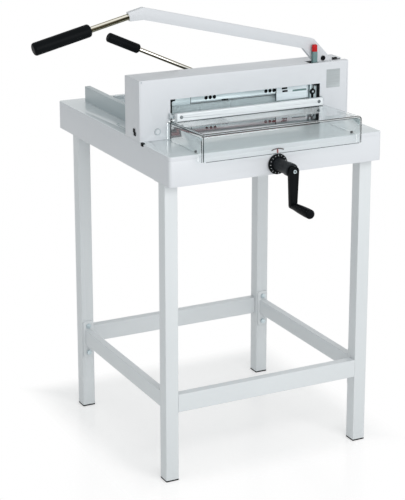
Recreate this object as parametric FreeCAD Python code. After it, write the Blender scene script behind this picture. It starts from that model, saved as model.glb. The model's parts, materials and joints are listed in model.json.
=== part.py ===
import FreeCAD, Part
import math
import os

# Manual stack guillotine on a stand. Units are millimetres.
# x runs to the right, y to the back and z up. The origin is on the floor,
# under the centre of the table. The machine stands on its four foot caps.

Vec = FreeCAD.Vector

# Table
table_width = 640.0
table_depth = 750.0
table_top_z = 920.0
table_height = 80.5
table_corner_radius = 9.0
table_edge_radius = 2.5
plate_thickness = 12.0
apron_wall = 3.0
apron_flange_width = 76.0
apron_flange_thickness = 3.0
rib_width = 8.0
rib_depth = 30.0
rib_pitch = 100.0
rib_margin = 20.0
slot_rib_gap = 6.0

# Stand
leg_size = 38.0
leg_wall = 2.0
tube_edge_radius = 2.0
leg_side_inset = 4.5
front_leg_inset = 39.0
rear_leg_inset = 94.0
leg_flange_thickness = 4.0
leg_flange_reach = 27.0
foot_height = 4.0
foot_plug_height = 18.0
foot_plug_wall = 3.0
foot_plug_clearance = 0.3
cross_rail_height = 51.0
cross_rail_depth = 25.0
rail_wall = 2.0
rail_mid_z = 223.0
side_rail_width = 20.0
side_rail_height = 46.0
end_plate_width = 32.0
end_plate_height = 112.0
end_plate_thickness = 5.0
end_plate_drop = 7.5
end_plate_radius = 6.0
rail_bolt_spacing = 83.0

# Fasteners
bolt_radius = 4.0
bolt_head_width = 13.0
bolt_head_height = 5.3
bolt_tip_length = 2.0
bolt_hole_clearance = 0.2
cap_screw_radius = 3.0
cap_screw_head_radius = 5.0
cap_screw_head_height = 6.0
cap_screw_head_clearance = 0.3
cap_screw_end_gap = 1.0
socket_width = 5.0

# Bridge over the table
bridge_setback = 179.0
bridge_end_width = 90.5
bridge_depth = 92.0
bridge_height = 165.0
bridge_band_height = 58.5
cover_sheet = 2.0
end_cap_thickness = 4.0
cover_edge_radius = 3.0
frame_thickness = 8.0
frame_end_gap = 1.0
frame_top_gap = 3.0
frame_opening_margin = 2.5
rear_opening_height = 45.5
frame_foot_width = 50.0
frame_foot_height = 25.0
frame_foot_side_gap = 3.0
front_foot_depth = 10.0
rear_foot_depth = 30.0
foot_bolt_end_gap = 6.0
foot_bolt_hole_gap = 1.0
spacer_radius = 5.0
spacer_edge_gap = 2.5
spacer_low_height = 50.0
spacer_top_gap = 20.0
key_slot_setback = 36.0
key_slot_width = 7.0
key_slot_low_height = 11.5
key_slot_length = 18.0
liner_thickness = 5.0
liner_depth = 10.0
liner_return = 14.0
liner_radius = 4.0

# Blade
cut_setback = 46.0
blade_rest_height = 47.0
blade_stop_gap = 0.3
blade_end_overlap = 10.5
blade_pinion_gap = 7.0
blade_height = 75.0
blade_thickness = 8.0
blade_bevel_height = 16.0
blade_edge_land = 0.3
slide_angle = 15.0
stick_size = 14.0
stick_end_overlap = 0.5
stick_clearance = 0.2
stick_bed_depth = 52.0
stick_bed_height = 20.0
stick_bed_overhang = 28.0

# Blade carrier
carrier_left_reach = 32.5
carrier_hub_gap = 32.0
carrier_rise = 37.5
carrier_top_gap = 6.0
carrier_thickness = 16.0
carrier_chamfer = 3.0
web_hub_gap = 4.0
web_top_rise = 2.0
tail_end_gap = 10.0
tail_hub_gap = 5.0
tail_height = 22.0
roller_radius = 7.0
roller_clearance = 0.1
roller_tip_gap = 0.5
left_roller_inset = 12.0
left_roller_rise = 21.0
right_roller_offset = 8.0
right_roller_rise = 10.0
blade_screw_rise = 11.5
blade_screw_pitch = 12.5
blade_screws_in_group = 3
blade_screw_left_inset = 140.0
blade_screw_right_inset = 128.0

# Gears
gear_module = 2.5
pressure_angle = 20.0
pinion_teeth = 18
sector_full_teeth = 60
tooth_thinning = 0.3
gear_thickness = 12.0
rack_back = 5.0
rack_end_margin = 6.0
rack_tooth_margin = 2.4
gear_dedendum_factor = 1.25
flank_steps = 3
pinion_boss_wall = 5.0

# Blade lever
lever_shaft_inset = 50.0
lever_shaft_height = 108.0
lever_shaft_radius = 12.0
lever_shaft_end_gap = 0.5
lever_hub_radius = 26.0
lever_blade_offset = 18.0
lever_arm_thickness = 14.0
lever_arm_width = 31.7
lever_arm_slope = 13.65
lever_arm_run = 515.3
lever_end_length = 45.0
lever_end_width = 24.0
lever_elbow_offset = 49.7
lever_elbow_rise = 64.2
lever_neck_right_reach = 9.0
lever_neck_left_reach = 48.0
lever_neck_fillet_reach = 35.0
lever_neck_height = 2.0
lever_elbow_radius = 9.0
lever_neck_fillet = 6.0
lever_rod_radius = 8.0
lever_rod_length = 111.0
lever_rod_tang_radius = 5.0
lever_rod_tang_length = 22.0
rod_seat_clearance = 0.05
rod_end_gap = 1.0
lever_grip_radius = 17.3
lever_grip_length = 162.0
lever_grip_rounding = 7.0
lever_grip_bore_depth = 120.0
grip_bore_gap = 0.5
lever_bolt_offset = 19.5
lever_bolt_rise = 7.5
lever_bolt_radius = 7.0
lever_bolt_depth = 9.0
lever_bolt_proud = 1.5
lever_bolt_clearance = 0.1
lever_bolt_socket_width = 7.0
lever_bolt_socket_depth = 4.0
lever_slot_clearance = 3.0
lever_slot_reach = 70.0
lever_slot_low_height = 45.0
bush_wall = 4.0
bush_flange = 3.0
bush_flange_thickness = 2.0
running_clearance = 0.05

# Clamp
clamp_rest_height = 42.0
clamp_stop_gap = 0.3
clamp_bar_height = 33.0
clamp_bar_chamfer = 2.0
clamp_blade_gap = 0.4
clamp_frame_gap = 2.0
clamp_foot_gap = 6.0
clamp_post_radius = 6.0
clamp_post_wall = 10.0
clamp_post_setback = 14.0
clamp_post_top_gap = 2.0
clamp_post_bracket = 10.0
clamp_pocket_count = 8
clamp_pocket_depth = 14.0
clamp_pocket_wall = 6.0
clamp_rack_back = 8.0
clamp_shaft_height = 105.0
clamp_shaft_radius = 8.0
clamp_shaft_hole_gap = 4.0
clamp_sector_setback = 20.0
sector_rim = 8.0
sector_rim_steps = 6
sector_spoke_width = 12.0
sector_spoke_taper = 0.6
sector_spoke_bite = 3.0
sector_spoke_turn = 0.06
clamp_hub_radius = 17.0
clamp_hub_chamfer = 1.5
clamp_lever_offset = 24.0
clamp_lever_angle = 24.4
clamp_lever_hub_depth = 28.0
clamp_rod_radius = 5.8
clamp_rod_start = 3.0
clamp_rod_end = 325.5
clamp_grip_start = 293.5
clamp_grip_length = 97.5
clamp_grip_radius = 13.0
clamp_grip_rounding = 5.0

# Guard
guard_side_overlap = 10.5
guard_overhang = 31.0
guard_back_gap = 1.0
guard_top_height = 50.0
guard_front_rise = 6.5
guard_wall = 4.0
guard_side_gap = 1.5
guard_lip_drop = 17.0
guard_lip_gap = 2.5
guard_bend_radius = 10.0
guard_pivot_gap = 6.0
guard_pivot_rise = 13.0
guard_bar_reach = 22.0
guard_bar_depth = 12.0
guard_bar_height = 22.0
guard_bar_end_gap = 17.0
guard_lug_width = 9.0
guard_lug_nose = 5.5
guard_ear_gap = 6.7
guard_ear_width = 5.5
guard_ear_height = 16.0
guard_pin_radius = 3.0
guard_pin_gap = 0.5
guard_screw_inset = 12.0
guard_screw_radius = 2.5
guard_screw_clearance = 0.1
guard_screw_head_radius = 4.5
guard_screw_head_height = 2.5
guard_screw_head_rounding = 1.5
bumper_radius = 3.0
bumper_length = 5.0
bumper_setback = 48.0
bumper_gap = 0.3

# Side fences
fence_opening_gap = 7.5
fence_width = 17.0
fence_height = 45.0
fence_wall = 3.0
fence_edge_radius = 1.5
fence_front_gap = 6.0
fence_back_setback = 45.0

# Back gauge and its spindle
spindle_x = -5.0
spindle_drop = 52.5
spindle_radius = 8.0
spindle_journal_radius = 7.0
spindle_back_setback = 25.0
gauge_rest_cut = 300.0
gauge_bar_gap = 0.6
gauge_end_gap = 3.0
gauge_side_gap = 5.0
gauge_table_gap = 0.5
gauge_height = 45.0
gauge_finger_count = 8
gauge_finger_width = 30.0
gauge_finger_depth = 15.0
gauge_finger_height = 36.0
gauge_wall = 12.0
gauge_base_depth = 50.0
gauge_base_thickness = 8.0
gauge_gusset_count = 5
gauge_gusset_width = 8.0
gauge_gusset_drop = 4.0
nut_offset = 22.0
nut_length = 30.0
nut_width = 40.0
nut_height = 30.0
nut_chamfer = 3.0
nut_neck_width = 14.0
slot_clearance = 1.2
slot_end_clearance = 4.0
slot_end_flat = 0.5
bearing_block_length = 15.0
bearing_block_width = 40.0
front_bearing_radius = 16.0
front_bearing_flange_radius = 24.0
front_bearing_flange_thickness = 4.0
front_bearing_length = 25.0

# Crank
dial_radius = 28.0
dial_thickness = 6.0
dial_gap = 2.0
dial_chamfer = 2.0
hub_radius = 17.0
hub_length = 49.0
hub_rib_count = 24
hub_rib_radius = 1.2
collar_radius = 18.5
collar_length = 22.0
collar_chamfer = 1.5
crank_arm_thickness = 14.0
crank_arm_length = 93.5
crank_boss_radius = 13.5
crank_end_radius = 9.5
crank_pin_radius = 4.0
crank_pin_length = 78.0
crank_screw_radius = 5.0
crank_screw_head = 2.5
crank_screw_shank = 3.0
crank_screw_length = 14.0
crank_screw_hole_depth = 16.0
crank_screw_clearance = 0.1
crank_screw_socket_floor = 0.5
grip_length = 85.0
grip_neck_radius = 9.5
grip_end_radius = 12.8
grip_swell_start = 0.35
grip_swell_share = 0.62
grip_swell_end = 0.75
grip_end_taper = 0.2
grip_rounding = 3.5
grip_rounding_step = 0.3
grip_end_gap = 0.4

# Pointer over the dial
pointer_radius = 41.5
pointer_half_width = 18.5
pointer_height = 3.0
pointer_thickness = 1.5
pointer_stem_width = 4.0
pointer_stem_gap = 1.0
pointer_steps = 8

# Safety catch
catch_shaft_offset = 53.0
catch_pivot_drop = 33.0
catch_width = 13.5
catch_depth = 10.0
catch_frame_gap = 0.5
catch_plate_thickness = 5.5
catch_rise = 31.0
catch_cap_width = 15.0
catch_cap_height = 19.5
catch_cap_side = 1.0
catch_cap_rounding = 5.0
catch_pin_radius = 3.0
catch_pin_head_radius = 5.0
catch_pin_head_height = 2.0
catch_pin_gap = 0.5
catch_slot_left_reach = 17.0
catch_slot_right_reach = 12.0
catch_slot_clearance = 1.5
catch_foot_clearance = 1.5

# Push button
button_end_offset = 52.3
button_height = 23.5
button_radius = 9.0
button_clearance = 0.2
button_proud = 2.5
button_length = 9.0
button_rounding = 1.0

# How far a cutting tool runs past the face it opens, and how near counts as the same place
past = 1.0
tiny = 0.1
full_turn = 360.0
hexagon_sides = 6

# Places and heights worked out for the table and the stand
half_width = table_width / 2
half_depth = table_depth / 2
table_bottom_z = table_top_z - table_height
plate_bottom_z = table_top_z - plate_thickness
front_leg_y = -half_depth + front_leg_inset
rear_leg_y = half_depth - rear_leg_inset - leg_size
end_plate_mid_z = rail_mid_z - end_plate_drop

# Worked out for the bridge
bridge_front_y = -half_depth + bridge_setback
bridge_back_y = bridge_front_y + bridge_depth
bridge_top_z = table_top_z + bridge_height
front_opening_half_width = half_width - bridge_end_width
front_opening_height = bridge_height - bridge_band_height
front_frame_y = (bridge_front_y + cover_sheet, bridge_front_y + cover_sheet + frame_thickness)
rear_frame_y = (bridge_back_y - cover_sheet - frame_thickness, bridge_back_y - cover_sheet)
frame_half_width = half_width - end_cap_thickness - frame_end_gap
frame_top_z = bridge_top_z - frame_top_gap
frame_opening_half_width = front_opening_half_width + frame_opening_margin
frame_foot_inner_x = frame_half_width - frame_foot_side_gap - frame_foot_width
key_slot_y = bridge_front_y + key_slot_setback

# Worked out for the gears, the lever and its shaft
pinion_pitch_radius = gear_module * pinion_teeth / 2
pinion_tip_radius = pinion_pitch_radius + gear_module
sector_pitch_radius = gear_module * sector_full_teeth / 2
lever_shaft_x = half_width - lever_shaft_inset
lever_shaft_z = table_top_z + lever_shaft_height
lever_plane_y = bridge_front_y + cut_setback - lever_blade_offset
lever_front_y = lever_plane_y - lever_arm_thickness / 2
lever_back_y = lever_plane_y + lever_arm_thickness / 2
lever_elbow_right_x = lever_shaft_x - lever_elbow_offset
lever_elbow_left_x = lever_elbow_right_x - lever_arm_run
lever_neck_right_x = lever_shaft_x + lever_neck_right_reach
lever_neck_left_x = lever_shaft_x - lever_neck_left_reach
lever_bolt_x = lever_shaft_x - lever_bolt_offset
lever_bolt_z = bridge_top_z + lever_bolt_rise
lever_slot_left_x = lever_shaft_x - lever_slot_reach

# Worked out for the blade and its carrier
cut_line_y = bridge_front_y + cut_setback
blade_left_x = -front_opening_half_width - blade_end_overlap
blade_right_x = lever_shaft_x - pinion_tip_radius - blade_pinion_gap
blade_y = (cut_line_y - blade_thickness, cut_line_y)
carrier_y = (blade_y[0] - carrier_thickness, blade_y[0])
carrier_left_x = -front_opening_half_width - carrier_left_reach
carrier_right_x = lever_shaft_x - lever_hub_radius - carrier_hub_gap
carrier_bottom_z = table_top_z + blade_rest_height + carrier_rise
carrier_top_z = bridge_top_z - carrier_top_gap
web_right_x = lever_shaft_x - lever_hub_radius - web_hub_gap
web_top_z = lever_shaft_z + web_top_rise
tail_right_x = half_width - end_cap_thickness - tail_end_gap
tail_top_z = lever_shaft_z - lever_hub_radius - tail_hub_gap
tail_bottom_z = tail_top_z - tail_height
blade_screw_z = carrier_bottom_z + blade_screw_rise
blade_screw_groups = (blade_left_x + blade_screw_left_inset, carrier_right_x - blade_screw_right_inset)
stick_half_length = front_opening_half_width + stick_end_overlap
blade_drop = blade_rest_height - blade_stop_gap
blade_travel = blade_drop / math.cos(math.radians(slide_angle))
lever_swing = math.degrees(blade_travel / pinion_pitch_radius)

# Worked out for the clamp
clamp_half_length = frame_foot_inner_x - clamp_foot_gap
clamp_post_x = clamp_half_length - clamp_post_wall
clamp_post_y = rear_frame_y[0] - clamp_post_setback
clamp_shaft_z = table_top_z + clamp_shaft_height
clamp_sector_front_y = rear_frame_y[0] - clamp_sector_setback
clamp_lever_plane_y = bridge_back_y + clamp_lever_offset
clamp_travel = clamp_rest_height - clamp_stop_gap
clamp_swing = math.degrees(clamp_travel / sector_pitch_radius)

# Worked out for the guard and the fences
guard_half_width = front_opening_half_width + guard_side_overlap
guard_front_y = -half_depth - guard_overhang
guard_lip_depth = guard_overhang - guard_lip_gap
guard_pivot_y = bridge_front_y - guard_pivot_gap
guard_pivot_z = table_top_z + guard_top_height + guard_pivot_rise
guard_bar_front_y = guard_pivot_y - guard_bar_reach
guard_bar_half_length = guard_half_width - guard_bar_end_gap
guard_screw_x = guard_bar_half_length - guard_screw_inset
bumper_y = guard_front_y + bumper_setback
fence_inner_x = front_opening_half_width + fence_opening_gap
fence_front_y = bridge_back_y + fence_front_gap
fence_back_y = half_depth - fence_back_setback

# Worked out for the back gauge and the crank
spindle_z = table_top_z - spindle_drop
spindle_back_y = half_depth - spindle_back_setback
gauge_face_y = cut_line_y + gauge_rest_cut
gauge_half_width = fence_inner_x - gauge_side_gap
gauge_low_y = rear_frame_y[0] - clamp_frame_gap + gauge_bar_gap
gauge_high_y = spindle_back_y - bearing_block_length - gauge_end_gap - nut_length - nut_offset
crank_front_y = -half_depth - dial_gap

# Worked out for the catch and the button
catch_x = lever_shaft_x - catch_shaft_offset
catch_pivot_z = bridge_top_z - catch_pivot_drop
catch_top_z = bridge_top_z + catch_rise
catch_back_y = front_frame_y[1] + catch_frame_gap + catch_plate_thickness
catch_front_y = catch_back_y - catch_depth
button_x = -half_width + button_end_offset


# Shape helpers

def block(x, y, z):
    """A box from three (low, high) pairs."""
    return Part.makeBox(x[1] - x[0], y[1] - y[0], z[1] - z[0], Vec(x[0], y[0], z[0]))


def around(centre, half):
    """The (low, high) pair of a size centred on a place."""
    return (centre - half, centre + half)


def rod(radius, start, end):
    """A round bar between two points."""
    line = Vec(*end) - Vec(*start)
    return Part.makeCylinder(radius, line.Length, Vec(*start), line)


def hole(radius, x, z, y):
    """A tool that bores right through a plate between two y values."""
    return rod(radius, (x, y[0] - past, z), (x, y[1] + past, z))


def fused(shapes):
    shapes = list(shapes)
    joined = shapes[0]
    if len(shapes) > 1:
        joined = joined.fuse(shapes[1:]).removeSplitter()
    return joined


def cut(shape, tools):
    return shape.cut(list(tools))


def mirrored(shape):
    """The same shape on the other side of the machine's middle plane."""
    return shape.mirror(Vec(0, 0, 0), Vec(1, 0, 0))


def straight_edges(shape, direction, wanted=None):
    """Straight edges along a direction, those whose middle is wanted."""
    found = []
    for edge in shape.Edges:
        if not isinstance(edge.Curve, (Part.Line, Part.LineSegment)):
            continue
        line = edge.Vertexes[-1].Point - edge.Vertexes[0].Point
        if line.cross(direction).Length > tiny:
            continue
        if wanted is None or wanted(edge.CenterOfMass):
            found.append(edge)
    return found


def prism(points, across, axis):
    """A flat outline pushed straight through its plane.

    With axis y the points are (x, z), with axis x they are (y, z), and with axis z (x, y).
    """
    low, high = across
    place = {
        "x": lambda a, b: Vec(low, a, b),
        "y": lambda a, b: Vec(a, low, b),
        "z": lambda a, b: Vec(a, b, low),
    }[axis]
    push = {"x": Vec(high - low, 0, 0), "y": Vec(0, high - low, 0), "z": Vec(0, 0, high - low)}[axis]
    corners = [place(a, b) for a, b in points]
    face = Part.Face(Part.makePolygon(corners + corners[:1]))
    return face.extrude(push)


def hexagon_bar(width, start, end):
    """A six-sided bar, such as a bolt head or a nut, along y or z."""
    line = Vec(*end) - Vec(*start)
    corner = width / math.sqrt(3)
    side = Vec(1, 0, 0)
    other = line.cross(side).normalize()
    corners = []
    for index in range(hexagon_sides):
        turn = math.tau * (index + 0.5) / hexagon_sides
        corners.append(Vec(*start) + side * (corner * math.cos(turn)) + other * (corner * math.sin(turn)))
    return Part.Face(Part.makePolygon(corners + corners[:1])).extrude(line)


def revolved(profile, origin, direction, radial):
    """A solid of revolution from (distance along the axis, radius) points."""
    axis = Vec(*direction).normalize()
    out = Vec(*radial)
    points = [Vec(*origin) + axis * along + out * radius for along, radius in profile]
    face = Part.Face(Part.makePolygon(points + points[:1]))
    return face.revolve(Vec(*origin), axis, full_turn)


def shifted(point, along, distance):
    """A point moved by a distance along a unit vector."""
    return tuple(point[i] + along[i] * distance for i in range(3))


def group(shapes):
    """Several separate solids that share one file."""
    return Part.makeCompound(list(shapes))


# Stand

def leg_x(side):
    """Low and high x of a leg's tube."""
    outer = half_width - leg_side_inset
    pair = (outer - leg_size, outer)
    return pair if side > 0 else (-pair[1], -pair[0])


def leg_centre_x(side):
    return sum(leg_x(side)) / 2


def leg_flange_bolts(side, low_y, inward):
    """The two bolt places of a leg's top flange."""
    x_low, x_high = leg_x(side)
    inner = x_low if side > 0 else x_high
    mid_y = low_y + leg_size / 2
    beside = (inner - side * leg_flange_reach / 2, mid_y)
    behind = (leg_centre_x(side), mid_y + inward * (leg_size + leg_flange_reach) / 2)
    return [beside, behind]


def leg(side, low_y, inward):
    x = leg_x(side)
    y = (low_y, low_y + leg_size)
    tube_top = table_bottom_z - leg_flange_thickness
    tube = block(x, y, (foot_height, tube_top))
    bore = block((x[0] + leg_wall, x[1] - leg_wall), (y[0] + leg_wall, y[1] - leg_wall),
                 (foot_height, tube_top))
    tube = tube.makeFillet(tube_edge_radius, straight_edges(tube, Vec(0, 0, 1))).cut(bore)
    flange_x = (x[0] - leg_flange_reach, x[1]) if side > 0 else (x[0], x[1] + leg_flange_reach)
    flange_y = (y[0], y[1] + leg_flange_reach) if inward > 0 else (y[0] - leg_flange_reach, y[1])
    flange = block(flange_x, flange_y, (tube_top, table_bottom_z))
    whole = fused([tube, flange])
    radius = bolt_radius + bolt_hole_clearance
    holes = [rod(radius, (bx, by, tube_top - past), (bx, by, table_bottom_z + past))
             for bx, by in leg_flange_bolts(side, low_y, inward)]
    face_y = y[1] if inward > 0 else y[0]
    for z in rail_bolt_heights():
        holes.append(rod(radius, (leg_centre_x(side), face_y - leg_wall - past, z),
                         (leg_centre_x(side), face_y + leg_wall + past, z)))
    return cut(whole, holes)


def rail_bolt_heights():
    return [end_plate_mid_z - rail_bolt_spacing / 2, end_plate_mid_z + rail_bolt_spacing / 2]


def foot_caps():
    """Plastic caps pushed into the lower ends of the legs."""
    caps = []
    half_plug = leg_size / 2 - leg_wall - foot_plug_clearance
    for side in (-1, 1):
        for low_y in (front_leg_y, rear_leg_y):
            centre = (leg_centre_x(side), low_y + leg_size / 2)
            pad = block(leg_x(side), (low_y, low_y + leg_size), (0, foot_height))
            pad = pad.makeFillet(tube_edge_radius, straight_edges(pad, Vec(0, 0, 1)))
            plug = block(around(centre[0], half_plug), around(centre[1], half_plug),
                         (foot_height, foot_height + foot_plug_height))
            half_hollow = half_plug - foot_plug_wall
            hollow = block(around(centre[0], half_hollow), around(centre[1], half_hollow),
                           (foot_height, foot_height + foot_plug_height))
            caps.append(fused([pad, plug.cut(hollow)]))
    return group(caps)


def cross_rail(face_y):
    """A hollow rail between two legs, closed by the legs themselves."""
    x = (leg_x(-1)[1], leg_x(1)[0])
    y = (face_y, face_y + cross_rail_depth)
    z = around(rail_mid_z, cross_rail_height / 2)
    rail = block(x, y, z)
    rail = rail.makeFillet(tube_edge_radius, straight_edges(rail, Vec(1, 0, 0)))
    bore = block(x, (y[0] + rail_wall, y[1] - rail_wall), (z[0] + rail_wall, z[1] - rail_wall))
    return rail.cut(bore)


def side_rail(side):
    """A hollow rail with a bolted plate on each end."""
    centre = leg_centre_x(side)
    y = (front_leg_y + leg_size, rear_leg_y)
    tube_y = (y[0] + end_plate_thickness, y[1] - end_plate_thickness)
    x = around(centre, side_rail_width / 2)
    z = around(rail_mid_z, side_rail_height / 2)
    tube = block(x, tube_y, z)
    tube = tube.makeFillet(tube_edge_radius, straight_edges(tube, Vec(0, 1, 0)))
    tube = tube.cut(block((x[0] + rail_wall, x[1] - rail_wall), tube_y, (z[0] + rail_wall, z[1] - rail_wall)))
    pieces = [tube]
    for plate_y in ((y[0], tube_y[0]), (tube_y[1], y[1])):
        plate = block(around(centre, end_plate_width / 2), plate_y,
                      around(end_plate_mid_z, end_plate_height / 2))
        pieces.append(plate.makeFillet(end_plate_radius, straight_edges(plate, Vec(0, 1, 0))))
    whole = fused(pieces)
    radius = bolt_radius + bolt_hole_clearance
    holes = []
    for z0 in rail_bolt_heights():
        holes.append(rod(radius, (centre, y[0] - past, z0), (centre, tube_y[0] + past, z0)))
        holes.append(rod(radius, (centre, tube_y[1] - past, z0), (centre, y[1] + past, z0)))
    return cut(whole, holes)


def through_bolt(head_seat, nut_seat):
    """A hexagon bolt and its nut, clamped on the two seats."""
    line = (Vec(*nut_seat) - Vec(*head_seat)).normalize()
    head_top = Vec(*head_seat) - line * bolt_head_height
    nut_end = Vec(*nut_seat) + line * bolt_head_height
    tip = nut_end + line * bolt_tip_length
    return fused([
        hexagon_bar(bolt_head_width, tuple(head_top), head_seat),
        rod(bolt_radius, head_seat, tuple(tip)),
        hexagon_bar(bolt_head_width, nut_seat, tuple(nut_end)),
    ])


def rail_bolts():
    bolts = []
    for side in (-1, 1):
        x = leg_centre_x(side)
        for face_y, away in ((front_leg_y + leg_size, 1), (rear_leg_y, -1)):
            for z in rail_bolt_heights():
                head = (x, face_y + away * end_plate_thickness, z)
                nut = (x, face_y - away * leg_wall, z)
                bolts.append(through_bolt(head, nut))
    return group(bolts)


def table_bolts():
    """Bolts that hold the stand and the bridge's feet to the table."""
    bolts = []
    for side in (-1, 1):
        for low_y, inward in ((front_leg_y, 1), (rear_leg_y, -1)):
            for x, y in leg_flange_bolts(side, low_y, inward):
                head = (x, y, table_bottom_z - leg_flange_thickness)
                nut = (x, y, table_bottom_z + apron_flange_thickness)
                bolts.append(through_bolt(head, nut))
    for x, y in frame_foot_bolts():
        seat = (x, y, plate_bottom_z)
        head = hexagon_bar(bolt_head_width, (x, y, plate_bottom_z - bolt_head_height), seat)
        shank = rod(bolt_radius, seat, (x, y, table_top_z + frame_foot_height - foot_bolt_end_gap))
        bolts.append(fused([head, shank]))
    return group(bolts)


# Table

def rounded_slab(inset, z):
    """The table's outline, pulled in by an inset, between two heights."""
    slab = block(around(0, half_width - inset), around(0, half_depth - inset), z)
    radius = table_corner_radius - inset
    return slab.makeFillet(radius, straight_edges(slab, Vec(0, 0, 1)))


def slot_range_y():
    """Where the gauge's slot starts and ends."""
    start = gauge_low_y + nut_offset - slot_end_clearance
    end = gauge_high_y + nut_offset + nut_length + slot_end_clearance
    return (start, end)


def table_plate():
    """The cast table: a flat plate with ribs and a bed for the cutting stick under it."""
    plate = rounded_slab(0, (plate_bottom_z, table_top_z))
    top = [e for e in plate.Edges if abs(e.BoundBox.ZMin - table_top_z) < tiny]
    plate = plate.makeFillet(table_edge_radius, top)
    rib_z = (plate_bottom_z - rib_depth, plate_bottom_z)
    rib_end_x = half_width - apron_wall - rib_margin
    rib_end_y = half_depth - apron_wall - rib_margin
    half_rib = rib_width / 2
    slot_rib_x = bearing_block_width / 2 + slot_rib_gap + half_rib
    ribs = []
    for offset in (-slot_rib_x, slot_rib_x):
        ribs.append(block(around(spindle_x + offset, half_rib), around(0, rib_end_y), rib_z))
    for x in (-half_width / 2, half_width / 2):
        ribs.append(block(around(x, half_rib), around(0, rib_end_y), rib_z))
    count = int((rib_end_y - cut_line_y - stick_bed_depth) // rib_pitch) + 1
    rib_places = [cut_line_y + stick_bed_depth + rib_pitch * index for index in range(count)]
    for y in rib_places + [(cut_line_y - rib_end_y) / 2]:
        ribs.append(block((-rib_end_x, spindle_x - slot_rib_x), around(y, half_rib), rib_z))
        ribs.append(block((spindle_x + slot_rib_x, rib_end_x), around(y, half_rib), rib_z))
    bed = block(around(0, stick_half_length + stick_bed_overhang), around(cut_line_y, stick_bed_depth / 2),
                (plate_bottom_z - stick_bed_height, plate_bottom_z))
    whole = fused([plate, bed] + ribs)
    half_groove = stick_size / 2 + stick_clearance
    groove = block(around(0, stick_half_length + stick_clearance), around(cut_line_y, half_groove),
                   (table_top_z - stick_size - stick_clearance, table_top_z + past))
    half_slot = nut_neck_width / 2 + slot_clearance
    slot = block(around(spindle_x, half_slot), slot_range_y(),
                 (plate_bottom_z - rib_depth, table_top_z + past))
    slot = slot.makeFillet(half_slot - slot_end_flat, straight_edges(slot, Vec(0, 0, 1)))
    radius = bolt_radius + bolt_hole_clearance
    holes = [rod(radius, (x, y, plate_bottom_z - past), (x, y, table_top_z + past))
             for x, y in frame_foot_bolts()]
    return cut(whole, [groove, slot] + holes)


def table_apron():
    """The sheet-steel skirt under the table, with a flange that the legs bolt to."""
    z = (table_bottom_z, plate_bottom_z)
    skirt = rounded_slab(0, z).cut(rounded_slab(apron_wall, z))
    flange_z = (table_bottom_z, table_bottom_z + apron_flange_thickness)
    window = block(around(0, half_width - apron_flange_width), around(0, half_depth - apron_flange_width),
                   flange_z)
    flange = rounded_slab(apron_wall, flange_z).cut(window)
    whole = fused([skirt, flange])
    radius = bolt_radius + bolt_hole_clearance
    holes = [rod(front_bearing_radius + bolt_hole_clearance, (spindle_x, -half_depth - past, spindle_z),
                 (spindle_x, -half_depth + apron_wall + past, spindle_z))]
    for side in (-1, 1):
        for low_y, inward in ((front_leg_y, 1), (rear_leg_y, -1)):
            for x, y in leg_flange_bolts(side, low_y, inward):
                holes.append(rod(radius, (x, y, flange_z[0] - past), (x, y, flange_z[1] + past)))
    return cut(whole, holes)


def cutting_stick():
    """The soft bar that the edge comes down on. It lies flush in the table."""
    return block(around(0, stick_half_length), around(cut_line_y, stick_size / 2),
                 (table_top_z - stick_size, table_top_z))


def fence(side):
    """A folded side fence, hollow below, behind the bridge."""
    x = (fence_inner_x, fence_inner_x + fence_width)
    y = (fence_front_y, fence_back_y)
    z = (table_top_z, table_top_z + fence_height)
    bar = block(x, y, z)
    bar = bar.makeFillet(fence_edge_radius,
                         straight_edges(bar, Vec(0, 1, 0), lambda p: p.z > table_top_z + past))
    inside = block((x[0] + fence_wall, x[1] - fence_wall), (y[0] + fence_wall, y[1] - fence_wall),
                   (z[0] - past, z[1] - fence_wall))
    bar = bar.cut(inside)
    return bar if side > 0 else mirrored(bar)


# Bridge

def portal(y, opening_half_width, opening_top_z):
    """A plate across the table with a wide opening at its foot."""
    plate = block(around(0, frame_half_width), y, (table_top_z, frame_top_z))
    opening = block(around(0, opening_half_width), (y[0] - past, y[1] + past),
                    (table_top_z - past, opening_top_z))
    return plate.cut(opening)


def slide_vector():
    """Unit vector of the blade's way down, in x and z."""
    turn = math.radians(slide_angle)
    return (-math.sin(turn), -math.cos(turn))


def oblique_slot(x, z, radius, y):
    """A round-ended slot along the blade's way down, from the rest place."""
    dx, dz = slide_vector()
    end = (x + dx * blade_travel, z + dz * blade_travel)
    side = (-dz * radius, dx * radius)
    body = prism([
        (x + side[0], z + side[1]),
        (end[0] + side[0], end[1] + side[1]),
        (end[0] - side[0], end[1] - side[1]),
        (x - side[0], z - side[1]),
    ], y, "y")
    top = rod(radius, (x, y[0], z), (x, y[1], z))
    bottom = rod(radius, (end[0], y[0], end[1]), (end[0], y[1], end[1]))
    return fused([body, top, bottom])


def roller_places():
    left = (carrier_left_x + left_roller_inset, carrier_bottom_z + left_roller_rise)
    right = (lever_shaft_x - right_roller_offset, tail_bottom_z + right_roller_rise)
    return [left, right]


def front_frame():
    """The front plate, with the two oblique slots that guide the blade carrier."""
    y = front_frame_y
    plate = portal(y, frame_opening_half_width, table_top_z + front_opening_height + frame_opening_margin)
    through = (y[0] - past, y[1] + past)
    tools = [oblique_slot(x, z, roller_radius + roller_clearance, through) for x, z in roller_places()]
    tools += [
        hole(lever_shaft_radius + running_clearance + bush_wall, lever_shaft_x, lever_shaft_z, y),
        hole(catch_pin_radius + running_clearance, catch_x, catch_pivot_z, y),
        hole(button_radius + button_clearance, button_x, table_top_z + button_height, y),
    ]
    return cut(plate, tools)


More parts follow.
